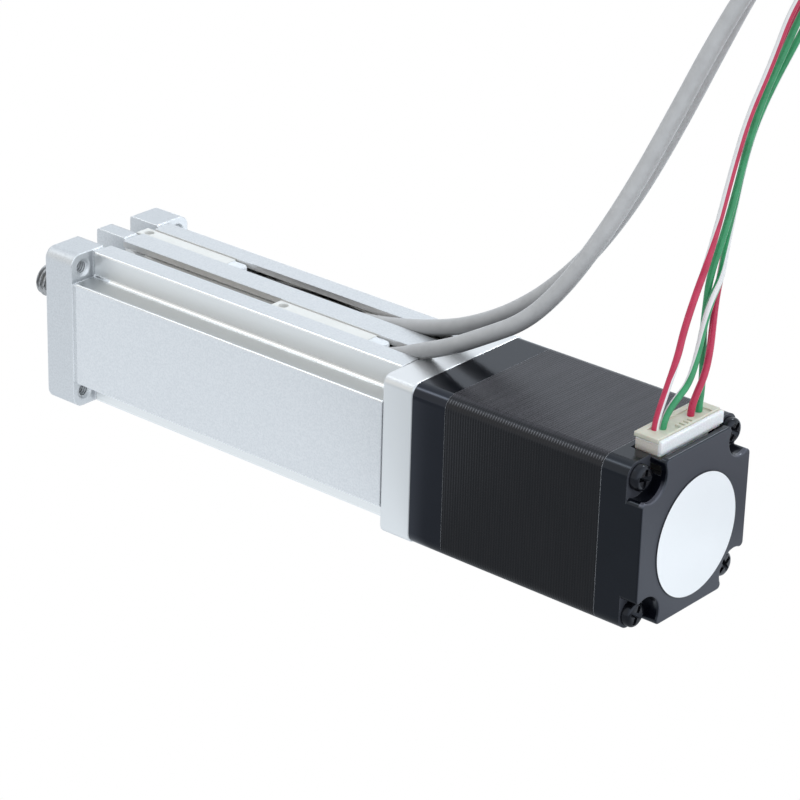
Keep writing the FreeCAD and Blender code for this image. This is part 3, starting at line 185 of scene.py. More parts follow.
def set_camera():
    """The camera, from its place and its three angles."""
    azimuth = math.radians(CAMERA_AZIMUTH)
    elevation = math.radians(CAMERA_ELEVATION)
    roll = math.radians(CAMERA_ROLL)
    back = Vector((math.sin(azimuth) * math.cos(elevation),
                   -math.cos(azimuth) * math.cos(elevation),
                   math.sin(elevation)))
    level = Vector((math.cos(azimuth), math.sin(azimuth), 0.0))
    upright = back.cross(level)
    right = level * math.cos(roll) + upright * math.sin(roll)
    up = upright * math.cos(roll) - level * math.sin(roll)
    data = bpy.data.cameras.new("camera")
    data.sensor_width = 36.0
    data.lens = CAMERA_LENS
    data.clip_start = 0.01
    data.clip_end = 20.0
    camera = bpy.data.objects.new("camera", data)
    turn = Matrix((right, up, back)).transposed()
    camera.matrix_world = Matrix.Translation(Vector(CAMERA_PLACE) * MM) @ turn.to_4x4()
    bpy.context.scene.collection.objects.link(camera)
    bpy.context.scene.camera = camera


def put(name, data, body, material):
    """Add a piece of one material that rides on a body."""
    piece = bpy.data.objects.new(name, data)
    bpy.context.scene.collection.objects.link(piece)
    piece.data.materials.append(material)
    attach(piece, body)
    return piece


def cord_curve(name, points, diameter, material):
    """A smooth round cord with the route's points as its spline's control points."""
    curve = bpy.data.curves.new(name, "CURVE")
    curve.dimensions = "3D"
    curve.resolution_u = 8
    curve.bevel_depth = diameter / 2 * MM
    curve.bevel_resolution = 6
    curve.use_fill_caps = True
    spline = curve.splines.new("NURBS")
    spline.points.add(len(points) - 1)
    for control, point in zip(spline.points, points):
        control.co = (point[0] * MM, point[1] * MM, point[2] * MM, 1.0)
    spline.order_u = 3
    spline.use_endpoint_u = True
    return put(name, curve, "housing", material)


def wound(radius, start, top, bottom, turns):
    """Control points of a neat coil's turns, going down from top to bottom."""
    steps = round(turns * COIL_POINTS)
    pull = math.cos(math.pi / COIL_POINTS)
    points = []
    for step in range(1, steps + 1):
        angle = math.radians(start - 360.0 * step / COIL_POINTS)
        height = top + (bottom - top) * step / steps
        points.append((COIL_CENTRE[0] + radius / pull * math.cos(angle),
                       COIL_CENTRE[1] + radius / pull * math.sin(angle), height))
    return points


def beside(before, point, after, side, level):
    """A point of the wires' bundle moved to one wire's place in it."""
    along = (Vector(after) - Vector(before)).normalized()
    across = (Vector((0.0, 1.0, 0.0)) - along * along.y).normalized()
    outward = across.cross(along)
    step = WIRE_SPACING / 2
    return tuple(Vector(point) + across * (side * step) + outward * (level * step))


def link(tree, source, socket):
    """Join an output to a socket, or set the socket to a value."""
    if isinstance(source, bpy.types.NodeSocket):
        tree.links.new(source, socket)
    else:
        socket.default_value = source


def compute(tree, operation, *values):
    """A calculation with numbers or outputs, done by one node."""
    node = tree.nodes.new("ShaderNodeMath")
    node.operation = operation
    for socket, value in zip(node.inputs, values):
        link(tree, value, socket)
    return node.outputs[0]


def both(tree, first, second):
    """What two shares of a surface have in common."""
    return compute(tree, "MULTIPLY", first, second)


def rest_of(tree, share):
    """What a share of a surface leaves over."""
    return compute(tree, "SUBTRACT", 1.0, share)


def place_of(tree, kind="Object"):
    """The coordinates of a point: Object ones are in metres."""
    return tree.nodes.new("ShaderNodeTexCoord").outputs[kind]


def normal_of(tree, kind="Normal"):
    """The direction that a surface faces in; the true one has no smooth shading."""
    return tree.nodes.new("ShaderNodeNewGeometry").outputs[kind]


def likeness(tree, first, second):
    """How alike two directions are: 1 where they are the same."""
    node = tree.nodes.new("ShaderNodeVectorMath")
    node.operation = "DOT_PRODUCT"
    link(tree, first, node.inputs[0])
    link(tree, second, node.inputs[1])
    return node.outputs["Value"]


def split(tree, vector):
    """A vector's three numbers."""
    node = tree.nodes.new("ShaderNodeSeparateXYZ")
    tree.links.new(vector, node.inputs[0])
    return node.outputs


def noise(tree, scale, stretch=(1.0, 1.0, 1.0), detail=3.0):
    """Noise in object space; scale is in features per metre."""
    mapping = tree.nodes.new("ShaderNodeMapping")
    mapping.inputs["Scale"].default_value = [scale * part for part in stretch]
    tree.links.new(place_of(tree), mapping.inputs["Vector"])
    texture = tree.nodes.new("ShaderNodeTexNoise")
    texture.inputs["Scale"].default_value = 1.0
    texture.inputs["Detail"].default_value = detail
    tree.links.new(mapping.outputs[0], texture.inputs["Vector"])
    return texture.outputs["Fac"]


def spread(tree, value, low, high, start=0.3, end=0.7):
    """The value between start and end, mapped to low to high."""
    node = tree.nodes.new("ShaderNodeMapRange")
    for name, number in (("From Min", start), ("From Max", end), ("To Min", low), ("To Max", high)):
        node.inputs[name].default_value = number
    tree.links.new(value, node.inputs["Value"])
    return node.outputs[0]


def mix(tree, kind, share, first, second):
    """Mix two numbers, vectors or colours; each is a value or an output."""
    node = tree.nodes.new("ShaderNodeMix")
    node.data_type = kind
    *sockets, result = {"FLOAT": (2, 3, 0), "VECTOR": (4, 5, 1), "RGBA": (6, 7, 2)}[kind]
    tree.links.new(share, node.inputs[0])
    for place, value in zip(sockets, (first, second)):
        link(tree, (*value, 1.0) if isinstance(value, tuple) else value, node.inputs[place])
    return node.outputs[result]


def slanted(tree):
    """1 on rounded corners, where the normal is along none of the axes."""
    straight = 0.9995
    size = tree.nodes.new("ShaderNodeVectorMath")
    size.operation = "ABSOLUTE"
    tree.links.new(normal_of(tree, "True Normal"), size.inputs[0])
    along, across, up = split(tree, size.outputs[0])
    most = compute(tree, "MAXIMUM", along, compute(tree, "MAXIMUM", across, up))
    return compute(tree, "LESS_THAN", most, straight)


def edges(tree, radius, sharp=None):
    """The normal with each sharp edge rounded, and how near to an edge a point is.

    Where the share called sharp is 1, nothing counts as near an edge. Flat faces
    away from the edges keep their true normal.
    """
    bevel = tree.nodes.new("ShaderNodeBevel")
    bevel.samples = 4
    bevel.inputs["Radius"].default_value = radius * MM
    true = normal_of(tree, "True Normal")
    at_edge, on_flat, least = 0.75, 0.985, 0.02
    near = spread(tree, likeness(tree, bevel.outputs[0], true), 1.0, 0.0, at_edge, on_flat)
    if sharp:
        near = both(tree, near, rest_of(tree, sharp(tree)))
    rounded = compute(tree, "MAXIMUM", compute(tree, "GREATER_THAN", near, least), slanted(tree))
    return mix(tree, "VECTOR", rounded, true, bevel.outputs[0]), near


def bump(tree, height, strength, depth, normal):
    """The normal with a height laid over it, which is `depth` deep where it is 1."""
    node = tree.nodes.new("ShaderNodeBump")
    node.inputs["Strength"].default_value = strength
    node.inputs["Distance"].default_value = depth * MM
    tree.links.new(height, node.inputs["Height"])
    tree.links.new(normal, node.inputs["Normal"])
    return node.outputs[0]


class Finish:
    """A material whose colour, roughness and surface vary with place.

    The colour runs between two tones over patches of the given size, and the
    roughness between two values over the grain, both by noise. The grain is also
    a relief. Edges look rounded, and take the edge tone if there is one; a tone
    lighter than the material's own is a painted highlight along the edges. Noise
    is finer along an axis whose stretch is over 1.
    """

    def __init__(self, name, tones, rough, metallic=0.0, specular=0.5, size=3.0, grain=0.25,
                 stretch=(1.0, 1.0, 1.0), strength=0.15, depth=0.01, edge=None, rounding=0.12,
                 sharp=None):
        self.material = bpy.data.materials.new(name)
        self.material.use_nodes = True
        self.tree = self.material.node_tree
        self.shader = self.tree.nodes["Principled BSDF"]
        self.shader.inputs["Metallic"].default_value = metallic
        self.shader.inputs["Specular IOR Level"].default_value = specular
        patches = noise(self.tree, 1.0 / (size * MM), stretch)
        self.grain = noise(self.tree, 1.0 / (grain * MM), stretch)
        self.color = mix(self.tree, "RGBA", spread(self.tree, patches, 0.0, 1.0), *tones)
        self.roughness = spread(self.tree, self.grain, *rough)
        self.normal, self.near_edge = edges(self.tree, rounding, sharp)
        self.relief(self.grain, strength, depth)
        # A lighter edge tone is a painted highlight along the edges
        if edge:
            self.tint(self.near_edge, edge)
        self.wire()

    def wire(self):
        """Join what has been built so far to the shader."""
        self.tree.links.new(self.color, self.shader.inputs["Base Color"])
        self.tree.links.new(self.roughness, self.shader.inputs["Roughness"])
        self.tree.links.new(self.normal, self.shader.inputs["Normal"])

    def tint(self, share, color):
        """Put a colour in place of the material's own where the share is 1."""
        self.color = mix(self.tree, "RGBA", share, self.color, color)
        self.wire()

    def away_from_edges(self, share):
        """The part of a share that isn't near an edge."""
        return both(self.tree, share, rest_of(self.tree, self.near_edge))

    def relief(self, height, strength, depth):
        """Lay another height over the surface."""
        self.normal = bump(self.tree, height, strength, depth, self.normal)
        self.wire()

    def matt(self, share, roughness):
        """Put a roughness in place of the material's own where the share is 1."""
        self.roughness = mix(self.tree, "FLOAT", share, self.roughness, roughness)
        self.wire()

    def set(self, **values):
        """Set inputs of the shader by their names."""
        for name, value in values.items():
            self.shader.inputs[name.replace("_", " ")].default_value = value


def facing(tree, axis, low=0.7, high=0.95):
    """1 where the surface faces along the axis (x, y or z, minus in front for back)."""
    part = split(tree, normal_of(tree))["XYZ".index(axis[-1].upper())]
    if axis[0] == "-":
        part = compute(tree, "MULTIPLY", part, -1.0)
    return spread(tree, part, 0.0, 1.0, low, high)


def within(tree, axis, low, high):
    """1 where a coordinate is between two values."""
    part = split(tree, place_of(tree))["XYZ".index(axis.upper())]
    above = compute(tree, "GREATER_THAN", part, low * MM)
    return both(tree, above, compute(tree, "LESS_THAN", part, high * MM))


def band(tree, towards, axis, low, high):
    """1 on faces towards one axis, where a coordinate is between two values."""
    return both(tree, facing(tree, towards), within(tree, axis, low, high))


def top_slots(tree, top=20.0):
    """1 in the two grooves in the tube's top, and round their mouths below a height."""
    return both(tree, within(tree, "y", -SLOTS_HALF_WIDTH, SLOTS_HALF_WIDTH),
                within(tree, "z", SLOTS_BOTTOM, top))


def waves(tree, value, pitch, angle=0.0):
    """0 to 1 and back once in each pitch of a value in metres, ahead by an angle."""
    turn = compute(tree, "MULTIPLY_ADD", value, 2.0 * math.pi / (pitch * MM), angle)
    return spread(tree, compute(tree, "SINE", turn), 0.0, 1.0, -1.0, 1.0)


def helix(tree, pitch):
    """0 to 1 and back once in each pitch of a thread round the rod's axis."""
    along, across, up = split(tree, place_of(tree))
    return waves(tree, along, pitch, compute(tree, "ARCTAN2", up, across))


def make_metals():
    """The materials of the bare and anodised metal pieces."""
    # Its edge tone paints a bright highlight along the edges
    flange = Finish("anodised", ((0.68, 0.695, 0.71), (0.78, 0.795, 0.81)), (0.46, 0.54),
                    metallic=1.0, size=0.3, grain=0.16, strength=0.25, depth=0.006,
                    edge=(0.95, 0.96, 0.97), rounding=0.32)
    # The rear flange's top and side in lighter tones, which are painted light; on the top it lifts
    # the shade under the cables
    lit_rear_top = band(flange.tree, "z", "x", *REAR_FLANGE)
    flange.tint(lit_rear_top, WHITE)
    flange.matt(lit_rear_top, 0.3)
    lit_rear_side = band(flange.tree, "y", "x", *REAR_FLANGE)
    flange.tint(lit_rear_side, (0.87, 0.88, 0.88))
    flange.matt(lit_rear_side, 0.34)
    flange.matt(flange.near_edge, 0.14)
    # Its edge tone paints a bright highlight along the edges
    tube = Finish("tube_alloy", ((0.78, 0.795, 0.81), (0.88, 0.89, 0.90)), (0.38, 0.46),
                  metallic=1.0, size=0.3, grain=0.12, strength=0.3, depth=0.008,
                  edge=(0.95, 0.96, 0.97), rounding=0.25, sharp=top_slots)
    # Painted shade in a darker, warmer tone inside the grooves and on the ledge of the step along
    # the side, and painted light in a lighter tone on the step's wall
    inside = top_slots(tube.tree, 13.9)
    tube.tint(inside, (0.79, 0.775, 0.755))
    shaded_ledge = band(tube.tree, "z", "z", 9.2, 9.7)
    tube.tint(shaded_ledge, (0.57, 0.58, 0.58))
    wall = band(tube.tree, "y", "y", 9.2, 9.8)
    tube.tint(wall, (0.93, 0.935, 0.925))
    tube.matt(slanted(tube.tree), 0.09)
    tube.matt(tube.near_edge, 0.09)
    drawn = noise(tube.tree, 9000.0, (0.012, 1.0, 1.0), 2.0)
    tube.relief(drawn, 0.12, 0.004)
    # The lighter edge tones of the metals below paint highlights along their edges
    steel = Finish("steel", ((0.46, 0.47, 0.48), (0.58, 0.58, 0.59)), (0.2, 0.34), metallic=1.0,
                   stretch=(4.0, 1.0, 1.0), depth=0.004, edge=(0.8, 0.8, 0.8))
    screw = Finish("lead_screw_steel", ((0.42, 0.43, 0.44), (0.55, 0.55, 0.56)), (0.2, 0.3),
                   metallic=1.0, depth=0.004)
    screw.relief(helix(screw.tree, 5.0), 0.6, 0.5)
    black = Finish("black_steel", ((0.003, 0.003, 0.004), (0.007, 0.007, 0.009)), (0.14, 0.24),
                   specular=0.42, grain=0.15, strength=0.25, depth=0.006,
                   edge=(0.05, 0.05, 0.06), rounding=0.06)
    # Blue tint on its reflections: a painted colour of bluish light
    black.set(Specular_Tint=(0.80, 0.86, 1.0, 1.0))
    stud = Finish("stud_steel", ((0.30, 0.30, 0.30), (0.48, 0.475, 0.47)), (0.12, 0.22),
                  metallic=1.0, depth=0.003, edge=(0.8, 0.8, 0.8), rounding=0.05)
    stainless = Finish("stainless", ((0.44, 0.45, 0.47), (0.50, 0.51, 0.53)), (0.16, 0.22),
                       metallic=1.0, depth=0.003, edge=(0.8, 0.8, 0.8), rounding=0.06)
    copper = Finish("copper", ((0.5, 0.16, 0.05), (0.75, 0.3, 0.12)), (0.2, 0.35), metallic=1.0,
                    stretch=(0.2, 1.0, 1.0), depth=0.01)
    copper.relief(waves(copper.tree, split(copper.tree, place_of(copper.tree))[1], 0.3), 0.8, 0.08)
    magnet = Finish("magnet", ((0.06, 0.06, 0.065), (0.11, 0.11, 0.115)), (0.35, 0.55),
                    metallic=0.6, size=1.0, strength=0.4, edge=(0.25, 0.25, 0.25))
    bronze = Finish("bronze", ((0.42, 0.24, 0.09), (0.58, 0.36, 0.15)), (0.3, 0.5),
                    metallic=1.0, size=0.8, strength=0.4, edge=(0.7, 0.5, 0.25))
    tin = Finish("tin", ((0.62, 0.61, 0.58), (0.72, 0.71, 0.69)), (0.2, 0.35), metallic=1.0)
    return {"anodised": flange, "tube_alloy": tube, "steel": steel, "lead_screw": screw,
            "black_steel": black, "stud": stud, "stainless": stainless, "copper": copper,
            "magnet": magnet, "bronze": bronze, "tin": tin}


def make_motor_paints():
    """Black paint on the motor's end pieces, and its blackened laminations."""
    paint = ((0.0015, 0.002, 0.004), (0.003, 0.0035, 0.006))
    bell = Finish("motor_bell", paint, (0.10, 0.16), specular=0.55, size=6.0, grain=0.4,
                  strength=0.06, depth=0.004, rounding=0.15)
    # Blue tint on its reflections: a painted colour of bluish light
    bell.set(Specular_Tint=(0.76, 0.83, 1.0, 1.0))
    # Its grey edge tone paints a highlight along the edges
    cover = Finish("motor_cover", paint, (0.12, 0.19), size=5.0, grain=0.22, depth=0.006,
                   edge=(0.16, 0.16, 0.17), rounding=0.1)
    # Blue tint on its reflections: a painted colour of bluish light
    cover.set(Specular_Tint=(0.80, 0.88, 1.0, 1.0))
    # Its rear face, rougher and in a lighter tone that is painted light, and a painted highlight on
    # the rim round the recesses of its upper screws, where it faces up
    rear = cover.away_from_edges(facing(cover.tree, "-x"))
    cover.tint(rear, (0.049, 0.050, 0.060))
    cover.matt(rear, 0.5)
    rim = both(cover.tree, within(cover.tree, "x", -130.0, -126.85),
               within(cover.tree, "z", 6.0, 11.0))
    cover.tint(both(cover.tree, rim, facing(cover.tree, "z", 0.3, 0.7)), (0.10, 0.10, 0.12))
    # Its edge tone stands for the bare steel of the sheets' edges, and is a painted highlight there
    # too
    stack = Finish("laminations", ((0.003, 0.003, 0.003), (0.006, 0.0055, 0.0055)), (0.22, 0.32),
                   specular=0.45, size=4.0, grain=0.3, stretch=(6.0, 0.6, 0.6), strength=0.2,
                   depth=0.01, edge=(0.55, 0.55, 0.57), rounding=0.16)
    # Blue tint on its reflections: a painted colour of bluish light
    stack.set(Specular_Tint=(0.88, 0.90, 1.0, 1.0))
    # The sheets' edges; the streaks along its top, whose lighter tone is painted light; and painted
    # highlights in bright ticks on its corner
    sheets = waves(stack.tree, split(stack.tree, place_of(stack.tree))[0], 0.5)
    stack.relief(sheets, 0.38, 0.05)
    streaks = noise(stack.tree, 1500.0, (1.0, 0.05, 0.05), 2.0)
    tones = mix(stack.tree, "RGBA", spread(stack.tree, streaks, 0.0, 1.0),
                (0.014, 0.0125, 0.015), (0.034, 0.0305, 0.036))
    stack.tint(stack.away_from_edges(facing(stack.tree, "z", 0.9, 0.99)), tones)
    corner = both(stack.tree, facing(stack.tree, "y", 0.55, 0.66),
                  facing(stack.tree, "z", 0.55, 0.66))
    tick_highlights = both(stack.tree, corner, spread(stack.tree, sheets, 0.0, 1.0, 0.6, 0.9))
    stack.tint(stack.away_from_edges(tick_highlights), (0.10, 0.10, 0.105))
    return {"motor_bell": bell, "motor_cover": cover, "laminations": stack}


def make_plastics():
    """The materials of the moulded, soft and printed pieces."""
    # The plastics' lighter edge tones paint highlights along their edges
    white = Finish("white_plastic", ((0.87, 0.87, 0.87), (0.91, 0.91, 0.91)), (0.2, 0.32),
                   size=2.0, strength=0.1, edge=(0.9, 0.9, 0.88), rounding=0.15)
    white.set(Subsurface_Weight=0.15, Subsurface_Scale=0.5 * MM)
    end = band(white.tree, "y", "x", -125.4, -120.0)
    white.tint(end, (0.70, 0.64, 0.57))
    switch = Finish("switch_plastic", ((0.82, 0.81, 0.77), (0.86, 0.85, 0.82)), (0.3, 0.42),
                    size=2.5, strength=0.12, edge=(0.9, 0.9, 0.87), rounding=0.15)
    cream = Finish("cream_plastic", ((0.60, 0.58, 0.47), (0.68, 0.66, 0.55)), (0.3, 0.42),
                   size=1.5, strength=0.15, edge=(0.8, 0.79, 0.68), rounding=0.12)
    cream.set(Subsurface_Weight=0.15, Subsurface_Scale=0.5 * MM)
    boot = Finish("clear_boot", ((0.83, 0.86, 0.89), (0.88, 0.90, 0.92)), (0.25, 0.4),
                  size=1.0, strength=0.1, rounding=0.3)
    # Near-black: painted shade, as the board is seen only deep inside the cover
    board = Finish("board", ((0.004, 0.005, 0.004), (0.008, 0.009, 0.007)), (0.5, 0.7), size=0.7)
    nut = Finish("nut_plastic", ((0.60, 0.57, 0.48), (0.68, 0.65, 0.57)), (0.35, 0.5), size=1.5)
    black = Finish("black_plastic", ((0.012, 0.012, 0.012), (0.03, 0.03, 0.03)), (0.4, 0.6))
    rubber = Finish("rubber", ((0.012, 0.012, 0.012), (0.025, 0.025, 0.024)), (0.5, 0.75),
                    grain=0.1, strength=0.4, depth=0.02)
    return {"white_plastic": white, "switch_plastic": switch, "cream_plastic": cream,
            "clear_boot": boot, "board": board, "nut_plastic": nut, "black_plastic": black,
            "rubber": rubber}


def make_label_film():
    """The plain white film of the motor's label, with a thin dark edge."""
    film = Finish("label", ((0.95, 0.955, 0.96), (0.97, 0.975, 0.98)), (0.35, 0.45), size=6.0,
                  grain=0.3, strength=0.05, depth=0.003, rounding=0.05)
    low, high = node_box("motor_label")
    middle = [(a + b) / 2 * MM for a, b in zip(low, high)]
    _, across, up = split(film.tree, place_of(film.tree))
    across = compute(film.tree, "SUBTRACT", across, middle[1])
    up = compute(film.tree, "SUBTRACT", up, middle[2])
    squares = compute(film.tree, "MULTIPLY_ADD", across, across, both(film.tree, up, up))
    reach = compute(film.tree, "SQRT", squares)
    radius = (high[1] - low[1]) / 2
    edge = spread(film.tree, reach, 0.0, 1.0, (radius - 0.14) * MM, (radius - 0.10) * MM)
    film.tint(edge, (0.02, 0.02, 0.025))
    return film


def make_jacket(name, tones, rough, stripe=None, below=None):
    """A cord's jacket, with a stripe along one side or a shade on its underside."""
    jacket = Finish(name, tones, rough, size=2.0, grain=0.3, strength=0.12, depth=0.006)
    if below:
        height = split(jacket.tree, place_of(jacket.tree))[2]
        low = spread(jacket.tree, height, 1.0, 0.0, *SHADE_SPAN)
        jacket.tint(both(jacket.tree, facing(jacket.tree, "-z", -0.9, 0.8), low), below)
    if stripe:
        along, around, _ = split(jacket.tree, place_of(jacket.tree, "UV"))
        first, last, start, end = STRIPE_PLACE[name]
        place = spread(jacket.tree, along, first, last, start, end)
        away = compute(jacket.tree, "SUBTRACT", around, place)
        off_line = compute(jacket.tree, "PINGPONG", away, 0.5)
        jacket.tint(spread(jacket.tree, off_line, 1.0, 0.0, *STRIPE_HALF), stripe)
    return jacket.material


def node_box(name):
    """The low and the high corner of a CAD node."""
    return [[value / MM for value in corner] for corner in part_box(name)]


def shade(mesh, sharp=35.0):
    """Smooth shading, but for edges that turn by more than an angle in degrees."""
    mesh.shade_smooth()
    mesh.set_sharp_from_angle(angle=math.radians(sharp))


class Shape:
    """A mesh made of skins over loops of points."""

    def __init__(self):
        self.model = bmesh.new()

    def skin(self, rows, wrap=False):
        """Join the loops in turn. The end loops are filled, or joined if it wraps."""
        loops = [[self.model.verts.new([part * MM for part in point]) for point in row]
                 for row in rows]
        pairs = list(zip(loops, loops[1:]))
        if wrap:
            pairs.append((loops[-1], loops[0]))
        else:
            self.model.faces.new(loops[0])
            self.model.faces.new(loops[-1])
        for first, second in pairs:
            for i in range(len(first)):
                j = (i + 1) % len(first)
                self.model.faces.new((first[i], first[j], second[j], second[i]))
        return self

    def mesh(self, name, **shading):
        """Turn the shape into a mesh, which ends the shape."""
        bmesh.ops.recalc_face_normals(self.model, faces=self.model.faces)
        mesh = bpy.data.meshes.new(name)
        self.model.to_mesh(mesh)
        self.model.free()
        shade(mesh, **shading)
        return mesh


def ring(x, radius, centre=(0.0, 0.0), sides=48):
    """A loop round a line along X; the radius is a number or depends on the angle."""
    points = []
    for side in range(sides):
        angle = 2.0 * math.pi * side / sides
        reach = radius(angle) if callable(radius) else radius
        points.append((x, centre[0] + reach * math.cos(angle), centre[1] + reach * math.sin(angle)))
    return points


def upright_ring(x, y, z, radius):
    """A level loop round a point."""
    sides = 32
    return [(x + radius * math.cos(2.0 * math.pi * side / sides),
             y + radius * math.sin(2.0 * math.pi * side / sides), z) for side in range(sides)]


def thread_share(x, angle, pitch):
    """How far the thread stands out at a place: 0 in its root and 1 on its crest."""
    steepness, root_flat = 1.5, 0.2
    phase = (x / pitch + angle / (2.0 * math.pi)) % 1.0
    return min(1.0, max(0.0, steepness * (1.0 - abs(2.0 * phase - 1.0)) - root_flat))


def carved(name, solid, cutter):
    """The solid mesh less the cutter mesh."""
    scene = bpy.context.scene.collection
    parts = [bpy.data.objects.new(f"{name}_{role}", mesh)
             for role, mesh in (("solid", solid), ("cutter", cutter))]
    for part in parts:
        scene.objects.link(part)
    cut = parts[0].modifiers.new("cut", "BOOLEAN")
    cut.operation = "DIFFERENCE"
    cut.solver = "EXACT"
    cut.object = parts[1]
    bpy.context.view_layer.update()
    graph = bpy.context.evaluated_depsgraph_get()
    mesh = bpy.data.meshes.new_from_object(parts[0].evaluated_get(graph), depsgraph=graph)
    mesh.name = name
    for part in parts:
        bpy.data.objects.remove(part)
    shade(mesh)
    return mesh


def add_stud(finishes):
    """The rod's end: a head with two flats and an M6 stud with its thread."""
    rod, head, flat, start, shoulder, tip = 3.55, 4.95, 4.0, -8.0, 3.0, 15.0
    root, crest, pitch, sides, turn_steps = 2.39, 2.98, 1.0, 64, 12
    chamfer, runout, swelling, tip_cone, tip_step = 0.35, 0.5, 0.7, 0.75, 0.3

    def headed(radius):
        return lambda angle: min(radius, flat / max(abs(math.sin(angle)), 1e-6))

    outline = [(start, rod), (0.0, rod), (0.0, headed(head)), (shoulder - chamfer, headed(head)),
               (shoulder, headed(head - chamfer)), (shoulder, root)]
    rows = [ring(x, radius, sides=sides) for x, radius in outline]
    steps = round((tip - shoulder) / pitch * turn_steps)
    for step in range(1, steps + 1):
        x = shoulder + step * pitch / turn_steps
        swell = min(1.0, max(0.0, (x - shoulder - runout) / swelling))
        limit = crest - max(0.0, x - (tip - tip_cone))
        rows.append(ring(x, lambda angle: min(
            limit, root + (crest - root) * swell * thread_share(x, angle, pitch)), sides=sides))
    rows.append(ring(tip, root - tip_step, sides=sides))
    mesh = Shape().skin(rows).mesh("threaded_stud", sharp=50.0)
    stud = put("threaded_stud", mesh, "rod", finishes["stud"].material)
    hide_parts("rod_end")


def add_mount_threads(finishes):
    """The threads in the four tapped holes of the front flange."""
    front, rear, outer, root, crest, pitch = -0.36, -6.25, 1.249, 1.235, 1.07, 0.5
    sides, turn_steps = 24, 10
    shape = Shape()
    steps = round((front - rear) / pitch * turn_steps)
    for across in (-MOUNT_OFFSET, MOUNT_OFFSET):
        for up in (-MOUNT_OFFSET, MOUNT_OFFSET):
            rows = [ring(x, outer, (across, up), sides) for x in (front, rear)]
            for step in range(steps + 1):
                x = rear + step * (front - rear) / steps
                rows.append(ring(x, lambda angle: root - (root - crest)
                                 * thread_share(x, angle, pitch), (across, up), sides))
            shape.skin(rows, wrap=True)
    threads = put("mount_threads", shape.mesh("mount_threads", sharp=60.0), "housing",
                  finishes["anodised"].material)


def cross_loop(x, arm, half, turn, centre):
    """The outline of a cross, with the arms' reach and half width."""
    points = []
    for quarter in range(4):
        for along, aside in ((half, -half), (arm, -half), (arm, half)):
            angle = turn + quarter * math.pi / 2
            points.append((x, centre[0] + along * math.cos(angle) - aside * math.sin(angle),
                           centre[1] + along * math.sin(angle) + aside * math.cos(angle)))
    return points


def add_motor_screws(finishes):
    """Four long screws with domed heads and a cross recess."""
    low, high = node_box("motor_screws")
    rear, front = low[0], high[0]
    length, shank, tip, chamfer = front - rear, 1.25, 0.95, 0.3
    # The screw's outline: places from the head's top on, and radii
    outline = [(0.0, 1.3), (0.03, 1.55), (0.1, 1.75), (0.22, 1.92), (0.4, 2.04), (0.6, 2.1),
               (1.5, 2.1), (1.6, 2.02), (1.6, shank), (length - chamfer, shank), (length, tip)]
    # The cross: depths, the arms' reach and half of their width
    recess = [(-0.2, 1.7, 0.42), (0.55, 1.25, 0.32), (1.2, 0.4, 0.18)]
    solid, cutter = Shape(), Shape()
    turns = iter(CROSS_TURNS)
    for up in (MOUNT_OFFSET, -MOUNT_OFFSET):
        for across in (MOUNT_OFFSET, -MOUNT_OFFSET):
            centre = (across, up)
            solid.skin([ring(rear + x, radius, centre) for x, radius in outline])
            turn = math.radians(next(turns))
            cutter.skin([cross_loop(rear + depth, arm, half, turn, centre)
                         for depth, arm, half in recess])
    mesh = carved("long_screws", solid.mesh("heads"), cutter.mesh("crosses"))
    screws = put("long_screws", mesh, "housing", finishes["black_steel"].material)
    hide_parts("motor_screws")


def rounded_box(low, high, bevel, height, inset=0.0):
    """A loop at a height: a rectangle in X and Y with rounded corners."""
    steps = 3
    points = []
    corners = [(high[0], high[1], 0), (low[0], high[1], 90), (low[0], low[1], 180),
               (high[0], low[1], 270)]
    for x, y, start in corners:
        side = 1 if x == high[0] else -1
        end = 1 if y == high[1] else -1
        for step in range(steps + 1):
            angle = math.radians(start + 90.0 * step / steps)
            points.append((x - side * (bevel + inset) + bevel * math.cos(angle),
                           y - end * (bevel + inset) + bevel * math.sin(angle), height))
    return points


def block(shape, low, high, bevel):
    """Add a block with all its edges rounded off."""
    bottom, top, part = low[2], high[2], bevel * 0.3
    outline = [(bottom, bevel), (bottom + part, part), (bottom + bevel, 0.0),
               (top - bevel, 0.0), (top - part, part), (top, bevel)]
    shape.skin([rounded_box(low[:2], high[:2], bevel, height, inset) for height, inset in outline])


def add_header(finishes):
    """The connector's shroud: a cup with a taller rear wall and a narrow foot."""
    shape = Shape()
    bevel, wall = 0.2, 0.7
    # The cup's outline: heights, and how far it lies inside the full size
    cup = [(13.65, 0.1), (13.8, 0.0), (15.5, 0.0), (15.65, 0.12), (15.65, wall - 0.1),
           (15.55, wall), (14.3, wall)]
    foot = [rounded_box((-125.5, -5.4), (-121.6, 5.4), bevel, height) for height in (11.0, 13.5)]
    shape.skin(foot + [rounded_box((-125.9, -7.75), (-121.15, 7.75), bevel, height, inset)
                       for height, inset in cup])
    block(shape, (-126.3, -8.0, 14.3), (-125.6, 8.0, 16.35), 0.14)
    header = put("header_shroud", shape.mesh("header_shroud"), "housing",
                 finishes["white_plastic"].material)
    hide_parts("connector_header")


def add_plug(finishes):
    """The wires' plug: a hollowed plate over the shroud, its body and four bumps."""
    solid, cutter = Shape(), Shape()
    block(solid, (-125.55, -8.0, 15.8), (-121.0, 8.0, 16.6), 0.14)
    block(cutter, (-125.3, -6.3, 16.35), (-122.1, 6.3, 17.2), 0.1)
    plug = Shape()
    plug.model.from_mesh(carved("plate", solid.mesh("plate"), cutter.mesh("hollow")))
    block(plug, (-125.1, -6.95, 14.4), (-121.9, 6.95, 15.9), 0.14)
    half = 0.28
    for side in (1.7, 0.7, -0.3, -1.3):
        block(plug, (-125.4, side - half, 16.2), (-124.2, side + half, 16.75), 0.12)
    plug = put("wire_plug", plug.mesh("wire_plug"), "housing", finishes["cream_plastic"].material)
    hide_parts("connector_plug")


